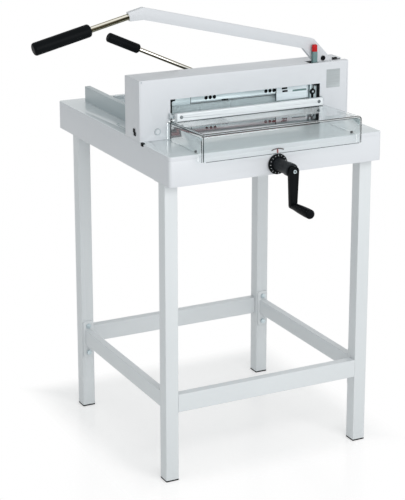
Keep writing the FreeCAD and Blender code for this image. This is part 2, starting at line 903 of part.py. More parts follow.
def rear_frame():
    """The rear plate, bored for the bushes of both shafts."""
    plate = portal(rear_frame_y, frame_opening_half_width, table_top_z + rear_opening_height)
    tools = [
        hole(lever_shaft_radius + running_clearance + bush_wall, lever_shaft_x, lever_shaft_z, rear_frame_y),
        hole(clamp_shaft_radius + running_clearance + bush_wall, 0, clamp_shaft_z, rear_frame_y),
    ]
    return cut(plate, tools)


def frame_foot_x():
    return (frame_foot_inner_x, frame_foot_inner_x + frame_foot_width)


def frame_foot_bolts():
    x = sum(frame_foot_x()) / 2
    front = front_frame_y[1] + front_foot_depth / 2
    rear = rear_frame_y[0] - rear_foot_depth / 2
    return [(side * x, y) for side in (-1, 1) for y in (front, rear)]


def frame_feet():
    """Blocks that stand the two frame plates on the table."""
    feet = []
    bore_top = table_top_z + frame_foot_height - foot_bolt_end_gap + foot_bolt_hole_gap
    for side in (-1, 1):
        x = frame_foot_x() if side > 0 else tuple(-v for v in reversed(frame_foot_x()))
        for y in ((front_frame_y[1], front_frame_y[1] + front_foot_depth),
                  (rear_frame_y[0] - rear_foot_depth, rear_frame_y[0])):
            foot = block(x, y, (table_top_z, table_top_z + frame_foot_height))
            for bx, by in frame_foot_bolts():
                foot = foot.cut(rod(bolt_radius + lever_bolt_clearance, (bx, by, table_top_z - past),
                                    (bx, by, bore_top)))
            feet.append(foot)
    return group(feet)


def frame_spacers():
    """Distance bars that tie the front plate to the rear plate."""
    edge = frame_half_width - spacer_radius - spacer_edge_gap
    places = [
        (-edge, table_top_z + spacer_low_height),
        (-edge, frame_top_z - spacer_top_gap),
        (edge, table_top_z + frame_foot_height + spacer_radius),
    ]
    return group(rod(spacer_radius, (x, front_frame_y[1], z), (x, rear_frame_y[0], z)) for x, z in places)


def lever_slot_y():
    gap = lever_slot_clearance
    return (lever_front_y - gap, lever_back_y + gap)


def housing_cover():
    """The bent sheet over the bridge: front, top and back in one piece."""
    x = around(0, half_width - end_cap_thickness)
    y = (bridge_front_y, bridge_back_y)
    outer = block(x, y, (table_top_z, bridge_top_z))
    inner = block(x, (y[0] + cover_sheet, y[1] - cover_sheet), (table_top_z, bridge_top_z - cover_sheet))
    top_edges = straight_edges(outer, Vec(1, 0, 0), lambda p: p.z > bridge_top_z - past)
    shell = outer.makeFillet(cover_edge_radius, top_edges).cut(inner)
    front_sheet = (y[0] - past, y[0] + cover_sheet + past)
    rear_sheet = (y[1] - cover_sheet - past, y[1] + past)
    front_window = block(around(0, front_opening_half_width), front_sheet,
                         (table_top_z - past, table_top_z + front_opening_height))
    rear_window = block(around(0, frame_opening_half_width), rear_sheet,
                        (table_top_z - past, table_top_z + rear_opening_height))
    top = (bridge_top_z - cover_sheet - cover_edge_radius, bridge_top_z + past)
    lever_slot = block((lever_slot_left_x, x[1] + past), lever_slot_y(), top)
    catch_slot = block((catch_x - catch_slot_left_reach, catch_x + catch_slot_right_reach),
                       (catch_front_y - catch_slot_clearance, lever_slot_y()[0] + past), top)
    shaft_hole = hole(clamp_shaft_radius + clamp_shaft_hole_gap, 0, clamp_shaft_z, rear_sheet)
    button_hole = hole(button_radius + button_clearance, button_x, table_top_z + button_height, front_sheet)
    return cut(shell, [front_window, rear_window, lever_slot, catch_slot, shaft_hole, button_hole])


def end_cap(side):
    """A moulded end of the bridge. The right one is slotted for the lever, the left one for a key."""
    x = (half_width - end_cap_thickness, half_width)
    y = (bridge_front_y, bridge_back_y)
    cap = block(x, y, (table_top_z, bridge_top_z))
    cap = cap.makeFillet(cover_edge_radius,
                         straight_edges(cap, Vec(1, 0, 0), lambda p: p.z > bridge_top_z - past))
    if side > 0:
        low = table_top_z + lever_slot_low_height
        return cap.cut(block((x[0] - past, x[1] + past), lever_slot_y(), (low, bridge_top_z + past)))
    cap = mirrored(cap)
    half_slot = key_slot_width / 2
    slot_low = table_top_z + key_slot_low_height
    slot_z = (slot_low + half_slot, slot_low + key_slot_length - half_slot)
    through = (-x[1] - past, -x[0] + past)
    tools = [block(through, around(key_slot_y, half_slot), slot_z)]
    tools += [rod(half_slot, (through[0], key_slot_y, z), (through[1], key_slot_y, z)) for z in slot_z]
    return cut(cap, tools)


def flanged_bush(bore_radius, x, z, plate_y, flange_side):
    """A bush in a frame plate, with its flange on the inner face."""
    outer = bore_radius + bush_wall
    sleeve = rod(outer, (x, plate_y[0], z), (x, plate_y[1], z))
    seat = plate_y[1] if flange_side > 0 else plate_y[0]
    flange = rod(outer + bush_flange, (x, seat, z), (x, seat + flange_side * bush_flange_thickness, z))
    reach = bush_flange_thickness + past
    bore = rod(bore_radius, (x, plate_y[0] - reach, z), (x, plate_y[1] + reach, z))
    return fused([sleeve, flange]).cut(bore)


def shaft_bushes():
    lever_bore = lever_shaft_radius + running_clearance
    return group([
        flanged_bush(lever_bore, lever_shaft_x, lever_shaft_z, front_frame_y, 1),
        flanged_bush(lever_bore, lever_shaft_x, lever_shaft_z, rear_frame_y, -1),
        flanged_bush(clamp_shaft_radius + running_clearance, 0, clamp_shaft_z, rear_frame_y, -1),
    ])


def clamp_posts():
    """Upright posts that guide the clamp bar, each held to the rear plate at its top."""
    top = frame_top_z - clamp_post_top_gap
    post = rod(clamp_post_radius, (clamp_post_x, clamp_post_y, table_top_z),
               (clamp_post_x, clamp_post_y, top))
    arm = block(around(clamp_post_x, clamp_post_radius), (clamp_post_y, rear_frame_y[0]),
                (top - clamp_post_bracket, top))
    post = fused([post, arm])
    return group([mirrored(post), post])


def opening_liners():
    """Dark edging strips at both ends of the front opening, with a short return along its top."""
    outer = front_opening_half_width
    y = (bridge_front_y, bridge_front_y + liner_depth)
    top = table_top_z + front_opening_height
    strip = block((outer - liner_thickness, outer), y, (table_top_z, top))
    along_top = block((outer - liner_return, outer), y, (top - liner_thickness, top))
    liner = fused([strip, along_top])
    inner = straight_edges(liner, Vec(0, 1, 0),
                           lambda p: p.x < outer - tiny and p.z < top - tiny and p.z > top - liner_return)
    liner = liner.makeFillet(liner_radius,
                             [e for e in inner if e.CenterOfMass.x > outer - liner_thickness - tiny])
    return group([mirrored(liner), liner])


# Blade

def carrier_outline():
    """The carrier with its web and its tail below the lever shaft, as (x, z) points."""
    return [
        (carrier_left_x, carrier_bottom_z),
        (carrier_right_x, carrier_bottom_z),
        (carrier_right_x, tail_bottom_z),
        (tail_right_x, tail_bottom_z),
        (tail_right_x, tail_top_z),
        (web_right_x, tail_top_z),
        (web_right_x, web_top_z),
        (carrier_right_x, web_top_z),
        (carrier_right_x, carrier_top_z),
        (carrier_left_x, carrier_top_z),
    ]


def blade_screw_places():
    """The blade's screws sit in two close groups."""
    first = -blade_screw_pitch * (blade_screws_in_group - 1) / 2
    offsets = [first + blade_screw_pitch * index for index in range(blade_screws_in_group)]
    return [(middle + offset, blade_screw_z) for middle in blade_screw_groups for offset in offsets]


def blade_carrier():
    body = prism(carrier_outline(), carrier_y, "y")
    low_front = straight_edges(body, Vec(1, 0, 0), lambda p: p.y < carrier_y[0] + tiny
                               and abs(p.z - carrier_bottom_z) < tiny)
    body = body.makeChamfer(carrier_chamfer, low_front)
    tools = []
    for x, z in blade_screw_places():
        head_y = (carrier_y[0] - past, carrier_y[0] + cap_screw_head_height - past)
        tools.append(hole(cap_screw_head_radius + cap_screw_head_clearance, x, z, head_y))
        tools.append(hole(cap_screw_radius + bolt_hole_clearance, x, z, carrier_y))
    rollers = [rod(roller_radius, (x, front_frame_y[0] + roller_tip_gap, z), (x, carrier_y[0], z))
               for x, z in roller_places()]
    return fused([cut(body, tools)] + rollers)


def blade():
    """The knife: flat at the back, ground to an edge from the front."""
    low = table_top_z + blade_rest_height
    high = low + blade_height
    profile = [
        (blade_y[1], low),
        (blade_y[1], high),
        (blade_y[0], high),
        (blade_y[0], low + blade_bevel_height),
        (blade_y[1] - blade_edge_land, low),
    ]
    body = prism(profile, (blade_left_x, blade_right_x), "x")
    radius = cap_screw_radius + bolt_hole_clearance
    return cut(body, [hole(radius, x, z, blade_y) for x, z in blade_screw_places()])


def cap_screw(x, z, seat_y, length):
    """A socket screw whose head sits on a face that looks forward."""
    head = rod(cap_screw_head_radius, (x, seat_y - cap_screw_head_height, z), (x, seat_y, z))
    shank = rod(cap_screw_radius, (x, seat_y, z), (x, seat_y + length, z))
    front = seat_y - cap_screw_head_height
    socket = hexagon_bar(socket_width, (x, front, z), (x, front + cap_screw_head_height / 2, z))
    return fused([head, shank]).cut(socket)


def blade_screws():
    seat = carrier_y[0] + cap_screw_head_height
    length = blade_y[1] - seat - cap_screw_end_gap
    return group(cap_screw(x, z, seat, length) for x, z in blade_screw_places())


# Gears

def involute(turn):
    return math.tan(turn) - turn


def involute_half_angles(teeth):
    """Half the tooth's angle at a few radii, from the base circle to the tip."""
    pitch_radius = gear_module * teeth / 2
    base_radius = pitch_radius * math.cos(math.radians(pressure_angle))
    tip_radius = pitch_radius + gear_module
    at_pitch = math.pi / (2 * teeth) - tooth_thinning / (2 * pitch_radius)
    start = max(base_radius, pitch_radius - gear_module * gear_dedendum_factor)
    pairs = []
    for step in range(flank_steps + 1):
        radius = start + (tip_radius - start) * step / flank_steps
        turn = math.acos(min(1.0, base_radius / radius))
        half = at_pitch + involute(math.radians(pressure_angle)) - involute(turn)
        pairs.append((radius, half))
    return pairs


def toothed_points(teeth, first, last, centre_angle):
    """Outline points of the teeth first to last, as (radius, angle) turned to a centre angle."""
    root = gear_module * teeth / 2 - gear_module * gear_dedendum_factor
    flank = involute_half_angles(teeth)
    points = []
    for index in range(first, last + 1):
        middle = math.radians(centre_angle) + 2 * math.pi * index / teeth
        points.append((root, middle - flank[0][1]))
        points += [(radius, middle - half) for radius, half in flank]
        points += [(radius, middle + half) for radius, half in reversed(flank)]
        points.append((root, middle + flank[0][1]))
    return points


def from_polar(points, centre):
    return [(centre[0] + radius * math.cos(turn), centre[1] + radius * math.sin(turn))
            for radius, turn in points]


def rack_points(length_down, length_up, teeth_down, teeth_up, back):
    """A rack's outline: u along the rack, v away from the gear. A gap lies at u = 0."""
    pitch = math.pi * gear_module
    deep = gear_module * gear_dedendum_factor
    lean = math.tan(math.radians(pressure_angle))
    half = pitch / 4 - tooth_thinning / 2
    points = [(-length_down, deep + back), (-length_down, deep)]
    for index in range(-teeth_down, teeth_up):
        middle = (index + 0.5) * pitch
        points.append((middle - half - deep * lean, deep))
        points.append((middle - half + gear_module * lean, -gear_module))
        points.append((middle + half - gear_module * lean, -gear_module))
        points.append((middle + half + deep * lean, deep))
    points += [(length_up, deep), (length_up, deep + back)]
    return points


def rack_teeth(length):
    """How many whole teeth a rack's upper run holds."""
    return int((length - rack_tooth_margin) // (math.pi * gear_module))


def gear_y():
    return (carrier_y[1], carrier_y[1] + gear_thickness)


def lever_pinion():
    """The spur pinion on the lever shaft that drives the blade down."""
    centre = (lever_shaft_x, lever_shaft_z)
    outline = from_polar(toothed_points(pinion_teeth, 0, pinion_teeth - 1, -slide_angle), centre)
    y = gear_y()
    wheel = prism(outline, y, "y")
    boss = rod(lever_shaft_radius + pinion_boss_wall, (centre[0], lever_back_y, centre[1]),
               (centre[0], y[0], centre[1]))
    bore = hole(lever_shaft_radius + running_clearance, centre[0], centre[1], (lever_back_y, y[1]))
    return fused([wheel, boss]).cut(bore)


def blade_rack():
    """The rack beside the pinion, bolted to the carrier's tail."""
    turn = math.radians(slide_angle)
    up = (math.sin(turn), math.cos(turn))
    out = (math.cos(turn), -math.sin(turn))
    contact = (lever_shaft_x + out[0] * pinion_pitch_radius, lever_shaft_z + out[1] * pinion_pitch_radius)
    down = (contact[1] - tail_bottom_z - rack_end_margin / 2) / up[1]
    above = blade_travel + rack_end_margin
    outline = rack_points(down, above, 1, rack_teeth(above), rack_back)
    points = [(contact[0] + u * up[0] + v * out[0], contact[1] + u * up[1] + v * out[1]) for u, v in outline]
    return prism(points, gear_y(), "y")


# Lever

def lever_line():
    """Unit vectors of the arm's long run: along it to the left and up, and square to it."""
    turn = math.radians(lever_arm_slope)
    return (-math.cos(turn), math.sin(turn)), (math.sin(turn), math.cos(turn))


def lever_points():
    """The lever arm's named corner points, as (x, z)."""
    along, square = lever_line()
    top_right = (lever_elbow_right_x, bridge_top_z + lever_elbow_rise)
    reach = (lever_elbow_right_x - lever_elbow_left_x) / -along[0]
    top_left = (top_right[0] + along[0] * reach, top_right[1] + along[1] * reach)
    low_left = (top_left[0], top_left[1] - lever_arm_width / square[1])
    down = (-math.cos(math.radians(lever_arm_slope)), -math.sin(math.radians(lever_arm_slope)))
    end_top = (top_left[0] + down[0] * lever_end_length, top_left[1] + down[1] * lever_end_length)
    end_low = (end_top[0] - down[1] * lever_end_width, end_top[1] + down[0] * lever_end_width)
    neck_z = bridge_top_z + lever_neck_height
    neck_width = lever_arm_width / square[1]
    low_right_x = lever_neck_left_x - lever_neck_fillet_reach
    low_right = (low_right_x, top_right[1] - (low_right_x - top_right[0]) * along[1] / -along[0] - neck_width)
    return {
        "top_left": top_left,
        "end_top": end_top,
        "end_low": end_low,
        "low_left": low_left,
        "low_right": low_right,
        "neck_left": (lever_neck_left_x, bridge_top_z),
        "neck_right": (lever_neck_right_x, neck_z),
        "top_right": top_right,
    }


def lever_arm():
    """The cranked arm: a long bar, a bent end for the rod and a neck down to the hub."""
    corner = lever_points()
    y = (lever_front_y, lever_back_y)
    hub = (lever_shaft_x, lever_shaft_z)
    outline = [
        corner["end_top"],
        corner["top_left"],
        corner["top_right"],
        corner["neck_right"],
        (hub[0] + lever_hub_radius, hub[1]),
        (hub[0] - lever_hub_radius, hub[1]),
        corner["neck_left"],
        corner["low_right"],
        corner["low_left"],
        corner["end_low"],
    ]
    body = prism(outline, y, "y")
    body = fused([body, rod(lever_hub_radius, (hub[0], y[0], hub[1]), (hub[0], y[1], hub[1]))])

    def near(name):
        x, z = corner[name]
        return straight_edges(body, Vec(0, 1, 0), lambda p: math.hypot(p.x - x, p.z - z) < tiny)

    body = body.makeFillet(lever_neck_fillet, near("low_right"))
    body = body.makeFillet(lever_elbow_radius, near("top_right") + near("top_left"))
    bore = hole(lever_shaft_radius + running_clearance, hub[0], hub[1], y)
    bolt_hole = rod(lever_bolt_radius + lever_bolt_clearance, (lever_bolt_x, y[0] - past, lever_bolt_z),
                    (lever_bolt_x, y[0] + lever_bolt_depth, lever_bolt_z))
    start, _, along = lever_rod_line()
    tang_hole = rod(lever_rod_tang_radius + rod_seat_clearance, start,
                    shifted(start, along, -lever_rod_tang_length))
    return cut(body, [bore, bolt_hole, tang_hole])


def lever_rod_line():
    """Start at the arm's end face, end inside the grip, and the direction between."""
    corner = lever_points()
    start = ((corner["end_top"][0] + corner["end_low"][0]) / 2, lever_plane_y,
             (corner["end_top"][1] + corner["end_low"][1]) / 2)
    turn = math.radians(lever_arm_slope)
    along = (-math.cos(turn), 0.0, -math.sin(turn))
    return start, shifted(start, along, lever_rod_length), along


def lever_shaft():
    return rod(lever_shaft_radius, (lever_shaft_x, front_frame_y[0] + lever_shaft_end_gap, lever_shaft_z),
               (lever_shaft_x, rear_frame_y[1], lever_shaft_z))


def lever_bolt():
    """The dark clamping screw in the arm's neck."""
    front = (lever_bolt_x, lever_front_y - lever_bolt_proud, lever_bolt_z)
    body = rod(lever_bolt_radius, front, (lever_bolt_x, lever_front_y + lever_bolt_depth, lever_bolt_z))
    floor = (lever_bolt_x, front[1] + lever_bolt_socket_depth, lever_bolt_z)
    return body.cut(hexagon_bar(lever_bolt_socket_width, front, floor))


def lever_rod():
    start, end, along = lever_rod_line()
    inside = shifted(end, along, lever_grip_bore_depth)
    tang = rod(lever_rod_tang_radius, shifted(start, along, rod_end_gap - lever_rod_tang_length), start)
    return fused([tang, rod(lever_rod_radius, start, inside)])


def turned_grip(start, along, length, radius, rounding, bore_radius, bore_depth):
    """A straight round grip with rounded ends and a blind bore for its rod."""
    body = rod(radius, start, shifted(start, along, length))
    ends = [e for e in body.Edges if isinstance(e.Curve, Part.Circle)]
    body = body.makeFillet(rounding, ends)
    return body.cut(rod(bore_radius, start, shifted(start, along, bore_depth)))


def lever_grip():
    _, end, along = lever_rod_line()
    return turned_grip(end, along, lever_grip_length, lever_grip_radius, lever_grip_rounding,
                       lever_rod_radius + running_clearance, lever_grip_bore_depth + grip_bore_gap)


# Clamp

def clamp_bar_y():
    return (blade_y[1] + clamp_blade_gap, rear_frame_y[0] - clamp_frame_gap)


def clamp_bar():
    """The pressing bar with pockets at its back, bored for its posts, and its rack."""
    y = clamp_bar_y()
    z = (table_top_z + clamp_rest_height, table_top_z + clamp_rest_height + clamp_bar_height)
    bar = block(around(0, clamp_half_length), y, z)
    bar = bar.makeChamfer(clamp_bar_chamfer, straight_edges(bar, Vec(1, 0, 0), lambda p: p.z > z[1] - tiny))
    inner = clamp_post_x - clamp_post_radius - clamp_pocket_wall
    step = 2 * inner / clamp_pocket_count
    pockets = []
    for index in range(clamp_pocket_count):
        low = -inner + step * index + clamp_pocket_wall / 2
        pockets.append(block((low, low + step - clamp_pocket_wall), (y[1] - clamp_pocket_depth, y[1] + past),
                             (z[0] + clamp_pocket_wall, z[1] - clamp_pocket_wall)))
    rack_x = -sector_pitch_radius
    low = z[1] - clamp_shaft_z
    up = clamp_travel + rack_end_margin
    outline = rack_points(-low, up, 1, rack_teeth(up), clamp_rack_back)
    points = [(rack_x - v, clamp_shaft_z + u) for u, v in outline]
    rack = prism(points, (clamp_sector_front_y, clamp_sector_front_y + gear_thickness), "y")
    bores = []
    for side in (-1, 1):
        bores.append(rod(clamp_post_radius + running_clearance,
                         (side * clamp_post_x, clamp_post_y, z[0] - past),
                         (side * clamp_post_x, clamp_post_y, z[1] + past)))
    return fused([cut(bar, pockets), rack]).cut(bores)


def sector_spoke(turn, rim, y):
    """A tapered spoke from the clamp shaft to the segment's rim."""
    half = sector_spoke_width / 2
    tip_half = half * sector_spoke_taper
    reach = rim + sector_spoke_bite
    along = (math.cos(turn), math.sin(turn))
    corners = [(0, half), (reach, tip_half), (reach, -tip_half), (0, -half)]
    return prism([(u * along[0] - v * along[1], clamp_shaft_z + u * along[1] + v * along[0])
                  for u, v in corners], y, "y")


def clamp_sector():
    """The toothed segment on the clamp shaft that drives the clamp bar down."""
    centre = (0, clamp_shaft_z)
    y = (clamp_sector_front_y, clamp_sector_front_y + gear_thickness)
    step = full_turn / sector_full_teeth
    first = -int(math.ceil(clamp_swing / step)) - 1
    teeth = toothed_points(sector_full_teeth, first, 1, full_turn / 2)
    root = sector_pitch_radius - gear_module * gear_dedendum_factor
    rim = root - sector_rim
    sweep = teeth[0][1] - teeth[-1][1]
    steps = [teeth[-1][1] + sweep * index / sector_rim_steps for index in range(sector_rim_steps + 1)]
    rim_shape = prism(from_polar(teeth + [(rim, turn) for turn in steps], centre), y, "y")
    spokes = [sector_spoke(turn, rim, y)
              for turn in (steps[0] - sector_spoke_turn, steps[-1] + sector_spoke_turn)]
    hub = rod(clamp_hub_radius, (0, y[0], clamp_shaft_z), (0, y[1], clamp_shaft_z))
    bore = hole(clamp_shaft_radius + running_clearance, 0, clamp_shaft_z, y)
    return fused([rim_shape, hub] + spokes).cut(bore)


def clamp_lever_line():
    """Unit vector from the clamp shaft out along its lever."""
    turn = math.radians(clamp_lever_angle)
    return (-math.cos(turn), 0.0, math.sin(turn))


def clamp_shaft():
    """The shaft through the rear plate, with the lever's hub on its end."""
    start = (0, clamp_sector_front_y, clamp_shaft_z)
    hub_y = (clamp_lever_plane_y - clamp_lever_hub_depth / 2, clamp_lever_plane_y + clamp_lever_hub_depth / 2)
    shaft = rod(clamp_shaft_radius, start, (0, hub_y[0], clamp_shaft_z))
    hub = rod(clamp_hub_radius, (0, hub_y[0], clamp_shaft_z), (0, hub_y[1], clamp_shaft_z))
    circles = [e for e in hub.Edges if isinstance(e.Curve, Part.Circle)]
    hub = hub.makeChamfer(clamp_hub_chamfer, circles)
    centre = (0, clamp_lever_plane_y, clamp_shaft_z)
    socket = rod(clamp_rod_radius + rod_seat_clearance, centre,
                 shifted(centre, clamp_lever_line(), clamp_hub_radius + past))
    return fused([shaft, hub]).cut(socket)


def clamp_lever_rod():
    along = clamp_lever_line()
    centre = (0, clamp_lever_plane_y, clamp_shaft_z)
    return rod(clamp_rod_radius, shifted(centre, along, clamp_rod_start),
               shifted(centre, along, clamp_rod_end))


def clamp_lever_grip():
    along = clamp_lever_line()
    centre = (0, clamp_lever_plane_y, clamp_shaft_z)
    start = shifted(centre, along, clamp_grip_start)
    bore_depth = clamp_rod_end - clamp_grip_start + grip_bore_gap
    return turned_grip(start, along, clamp_grip_length, clamp_grip_radius, clamp_grip_rounding,
                       clamp_rod_radius + running_clearance, bore_depth)


# Guard

def guard_shell(inset, low, back):
    """The hood's outline moved in by a wall: its top rises from the hinge bar to the front."""
    front = guard_front_y + inset
    top = table_top_z + guard_top_height - inset
    outline = [
        (back, low),
        (back, top),
        (guard_bar_front_y, top),
        (front, top + guard_front_rise),
        (front, low),
    ]
    shell = prism(outline, around(0, guard_half_width - inset), "x")
    bends = [e for e in shell.Edges if e.CenterOfMass.z > top - tiny and e.CenterOfMass.y < back - tiny]
    bends = [e for e in bends if abs(e.CenterOfMass.x) > tiny or e.CenterOfMass.y < front + tiny]
    bends += straight_edges(shell, Vec(0, 0, 1), lambda p: p.y < front + tiny)
    return shell.makeFillet(guard_bend_radius - inset, bends)


def guard_hood():
    """The clear hood: bent at its front and sides, open at the back and below."""
    low = table_top_z - guard_lip_drop
    back = bridge_front_y - guard_back_gap
    outer = guard_shell(0, low, back)
    inner = guard_shell(guard_wall, low - past, back + past)
    step = block(around(0, guard_half_width + past), (guard_front_y + guard_lip_depth, back + past),
                 (low - past, table_top_z + guard_side_gap))
    return cut(outer, [inner, step])


def guard_bar_z():
    low = table_top_z + guard_top_height
    return (low, low + guard_bar_height)


def guard_hinge_bar():
    """The white bar on the hood's back edge, with a pierced lug at each end."""
    z = guard_bar_z()
    y = (guard_bar_front_y, guard_bar_front_y + guard_bar_depth)
    bar = block(around(0, guard_bar_half_length), y, z)
    lugs = []
    for side in (-1, 1):
        outer = side * guard_bar_half_length
        x = tuple(sorted((outer, outer - side * guard_lug_width)))
        neck = block(x, (y[1], guard_pivot_y), around(guard_pivot_z, guard_lug_nose))
        nose = rod(guard_lug_nose, (x[0], guard_pivot_y, guard_pivot_z), (x[1], guard_pivot_y, guard_pivot_z))
        lugs += [neck, nose]
    whole = fused([bar] + lugs)
    bores = []
    for side in (-1, 1):
        ends = (side * (guard_bar_half_length + past),
                side * (guard_bar_half_length - guard_lug_width - past))
        bores.append(rod(guard_pin_radius + running_clearance, (ends[0], guard_pivot_y, guard_pivot_z),
                         (ends[1], guard_pivot_y, guard_pivot_z)))
        bores.append(hole(guard_screw_radius + guard_screw_clearance, side * guard_screw_x, guard_pivot_z, y))
    return cut(whole, bores)


def guard_screws():
    """Round-headed screws in the front of the hinge bar."""
    z = guard_pivot_z
    screws = []
    for side in (-1, 1):
        x = side * guard_screw_x
        front_y = guard_bar_front_y - guard_screw_head_height
        head = rod(guard_screw_head_radius, (x, front_y, z), (x, guard_bar_front_y, z))
        front = [e for e in head.Edges
                 if isinstance(e.Curve, Part.Circle) and e.CenterOfMass.y < front_y + tiny]
        head = head.makeFillet(guard_screw_head_rounding, front)
        shank = rod(guard_screw_radius, (x, guard_bar_front_y, z),
                    (x, guard_bar_front_y + guard_bar_depth, z))
        screws.append(fused([head, shank]))
    return group(screws)


def guard_ears():
    """Small brackets on the bridge's front, each with a pin that the hinge bar turns on."""
    low_x = guard_bar_half_length + guard_ear_gap
    x = (low_x, low_x + guard_ear_width)
    plate = block(x, (guard_pivot_y, bridge_front_y), around(guard_pivot_z, guard_ear_height / 2))
    front = rod(guard_lug_nose, (x[0], guard_pivot_y, guard_pivot_z), (x[1], guard_pivot_y, guard_pivot_z))
    pin_x = guard_bar_half_length - guard_lug_width + guard_pin_gap
    pin = rod(guard_pin_radius, (pin_x, guard_pivot_y, guard_pivot_z), (x[1], guard_pivot_y, guard_pivot_z))
    ear = fused([plate, front, pin])
    return group([mirrored(ear), ear])


def guard_bumpers():
    """Rubber stops at the lower ends of the hood's sides."""
    inner = guard_half_width - guard_wall
    z = table_top_z + bumper_gap + bumper_radius
    stop = rod(bumper_radius, (inner - bumper_length, bumper_y, z), (inner, bumper_y, z))
    return group([mirrored(stop), stop])


# Back gauge

def back_gauge():
    """The gauge: a wall with fingers in front, a foot behind and gussets between."""
    y0 = gauge_face_y
    z0 = table_top_z + gauge_table_gap
    wall_y = (y0 + gauge_finger_depth, y0 + gauge_finger_depth + gauge_wall)
    wall = block(around(0, gauge_half_width), wall_y, (z0, z0 + gauge_height))
    foot = block(around(0, gauge_half_width), (wall_y[0], wall_y[0] + gauge_base_depth),
                 (z0, z0 + gauge_base_thickness))
    pieces = [wall, foot]
    step = 2 * (gauge_half_width - gauge_finger_width / 2) / (gauge_finger_count - 1)
    for index in range(gauge_finger_count):
        x = -gauge_half_width + gauge_finger_width / 2 + step * index
        finger = block(around(x, gauge_finger_width / 2), (y0, wall_y[0]), (z0, z0 + gauge_finger_height))
        pieces.append(finger)
    step = 2 * (gauge_half_width - gauge_gusset_width / 2) / (gauge_gusset_count - 1)
    for index in range(gauge_gusset_count):
        x = -gauge_half_width + gauge_gusset_width / 2 + step * index
        pieces.append(prism([
            (wall_y[1], z0 + gauge_base_thickness),
            (wall_y[0] + gauge_base_depth, z0 + gauge_base_thickness),
            (wall_y[1], z0 + gauge_height - gauge_gusset_drop),
        ], around(x, gauge_gusset_width / 2), "x"))
    return fused(pieces)


def gauge_nut():
    """The spindle nut under the table, with the neck that reaches up through the slot."""
    y = (gauge_face_y + nut_offset, gauge_face_y + nut_offset + nut_length)
    nut = block(around(spindle_x, nut_width / 2), y, around(spindle_z, nut_height / 2))
    nut = nut.makeChamfer(nut_chamfer, straight_edges(nut, Vec(0, 1, 0)))
    neck = block(around(spindle_x, nut_neck_width / 2), y, (spindle_z, table_top_z + gauge_table_gap))
    return fused([nut, neck]).cut(hole(spindle_radius + running_clearance, spindle_x, spindle_z, y))


def spindle_bearings():
    """The flanged bush in the apron's front and the hanger near the table's back."""
    radius = spindle_radius + running_clearance
    front_y = (-half_depth, -half_depth + front_bearing_length)
    flange_y = (-half_depth + apron_wall, -half_depth + apron_wall + front_bearing_flange_thickness)
    bush = rod(front_bearing_radius, (spindle_x, front_y[0], spindle_z), (spindle_x, front_y[1], spindle_z))
    flange = rod(front_bearing_flange_radius, (spindle_x, flange_y[0], spindle_z),
                 (spindle_x, flange_y[1], spindle_z))
    front = fused([bush, flange]).cut(hole(radius, spindle_x, spindle_z, front_y))
    rear_y = (spindle_back_y - bearing_block_length, spindle_back_y)
    hanger = block(around(spindle_x, bearing_block_width / 2), rear_y,
                   (spindle_z - nut_height / 2, plate_bottom_z))
    return group([front, hanger.cut(hole(radius, spindle_x, spindle_z, rear_y))])


def crank_y():
    """Where the dial, hub, collar and arm start and end, from the table outward."""
    dial = crank_front_y - dial_thickness
    hub = dial - hub_length
    collar = hub - collar_length
    arm = collar - crank_arm_thickness
    return dial, hub, collar, arm


def spindle():
    """The gauge's spindle, with a thinner journal for the crank."""
    _, _, collar, _ = crank_y()
    body = rod(spindle_radius, (spindle_x, -half_depth, spindle_z), (spindle_x, spindle_back_y, spindle_z))
    journal = rod(spindle_journal_radius, (spindle_x, collar, spindle_z), (spindle_x, -half_depth, spindle_z))
    screw_hole = hole(crank_screw_shank + crank_screw_clearance, spindle_x, spindle_z,
                      (collar, collar + crank_screw_hole_depth))
    return fused([body, journal]).cut(screw_hole)


def crank_dial():
    """The dark scale disc that turns with the crank."""
    dial, _, _, _ = crank_y()
    profile = [
        (0, spindle_journal_radius + running_clearance),
        (0, dial_radius),
        (dial_thickness - dial_chamfer, dial_radius),
        (dial_thickness, dial_radius - 2 * dial_chamfer),
        (dial_thickness, spindle_journal_radius + running_clearance),
    ]
    return revolved(profile, (spindle_x, dial + dial_thickness, spindle_z), (0, -1, 0), (0, 0, 1))


def crank_hub():
    """The ribbed hub and its collar, pushed on to the spindle."""
    dial, hub, collar, _ = crank_y()
    bore_radius = spindle_journal_radius + running_clearance
    body = rod(hub_radius, (spindle_x, hub, spindle_z), (spindle_x, dial, spindle_z))
    ribs = []
    for index in range(hub_rib_count):
        turn = 2 * math.pi * index / hub_rib_count
        x = spindle_x + hub_radius * math.cos(turn)
        z = spindle_z + hub_radius * math.sin(turn)
        ribs.append(rod(hub_rib_radius, (x, hub, z), (x, dial + past, z)))
    body = body.cut(ribs)
    length = hub - collar
    profile = [
        (0, 0),
        (0, collar_radius - collar_chamfer),
        (collar_chamfer, collar_radius),
        (length - collar_chamfer, collar_radius),
        (length, collar_radius - collar_chamfer),
        (length, 0),
    ]
    ring = revolved(profile, (spindle_x, hub, spindle_z), (0, -1, 0), (0, 0, 1))
    return fused([body, ring]).cut(hole(bore_radius, spindle_x, spindle_z, (collar, dial)))


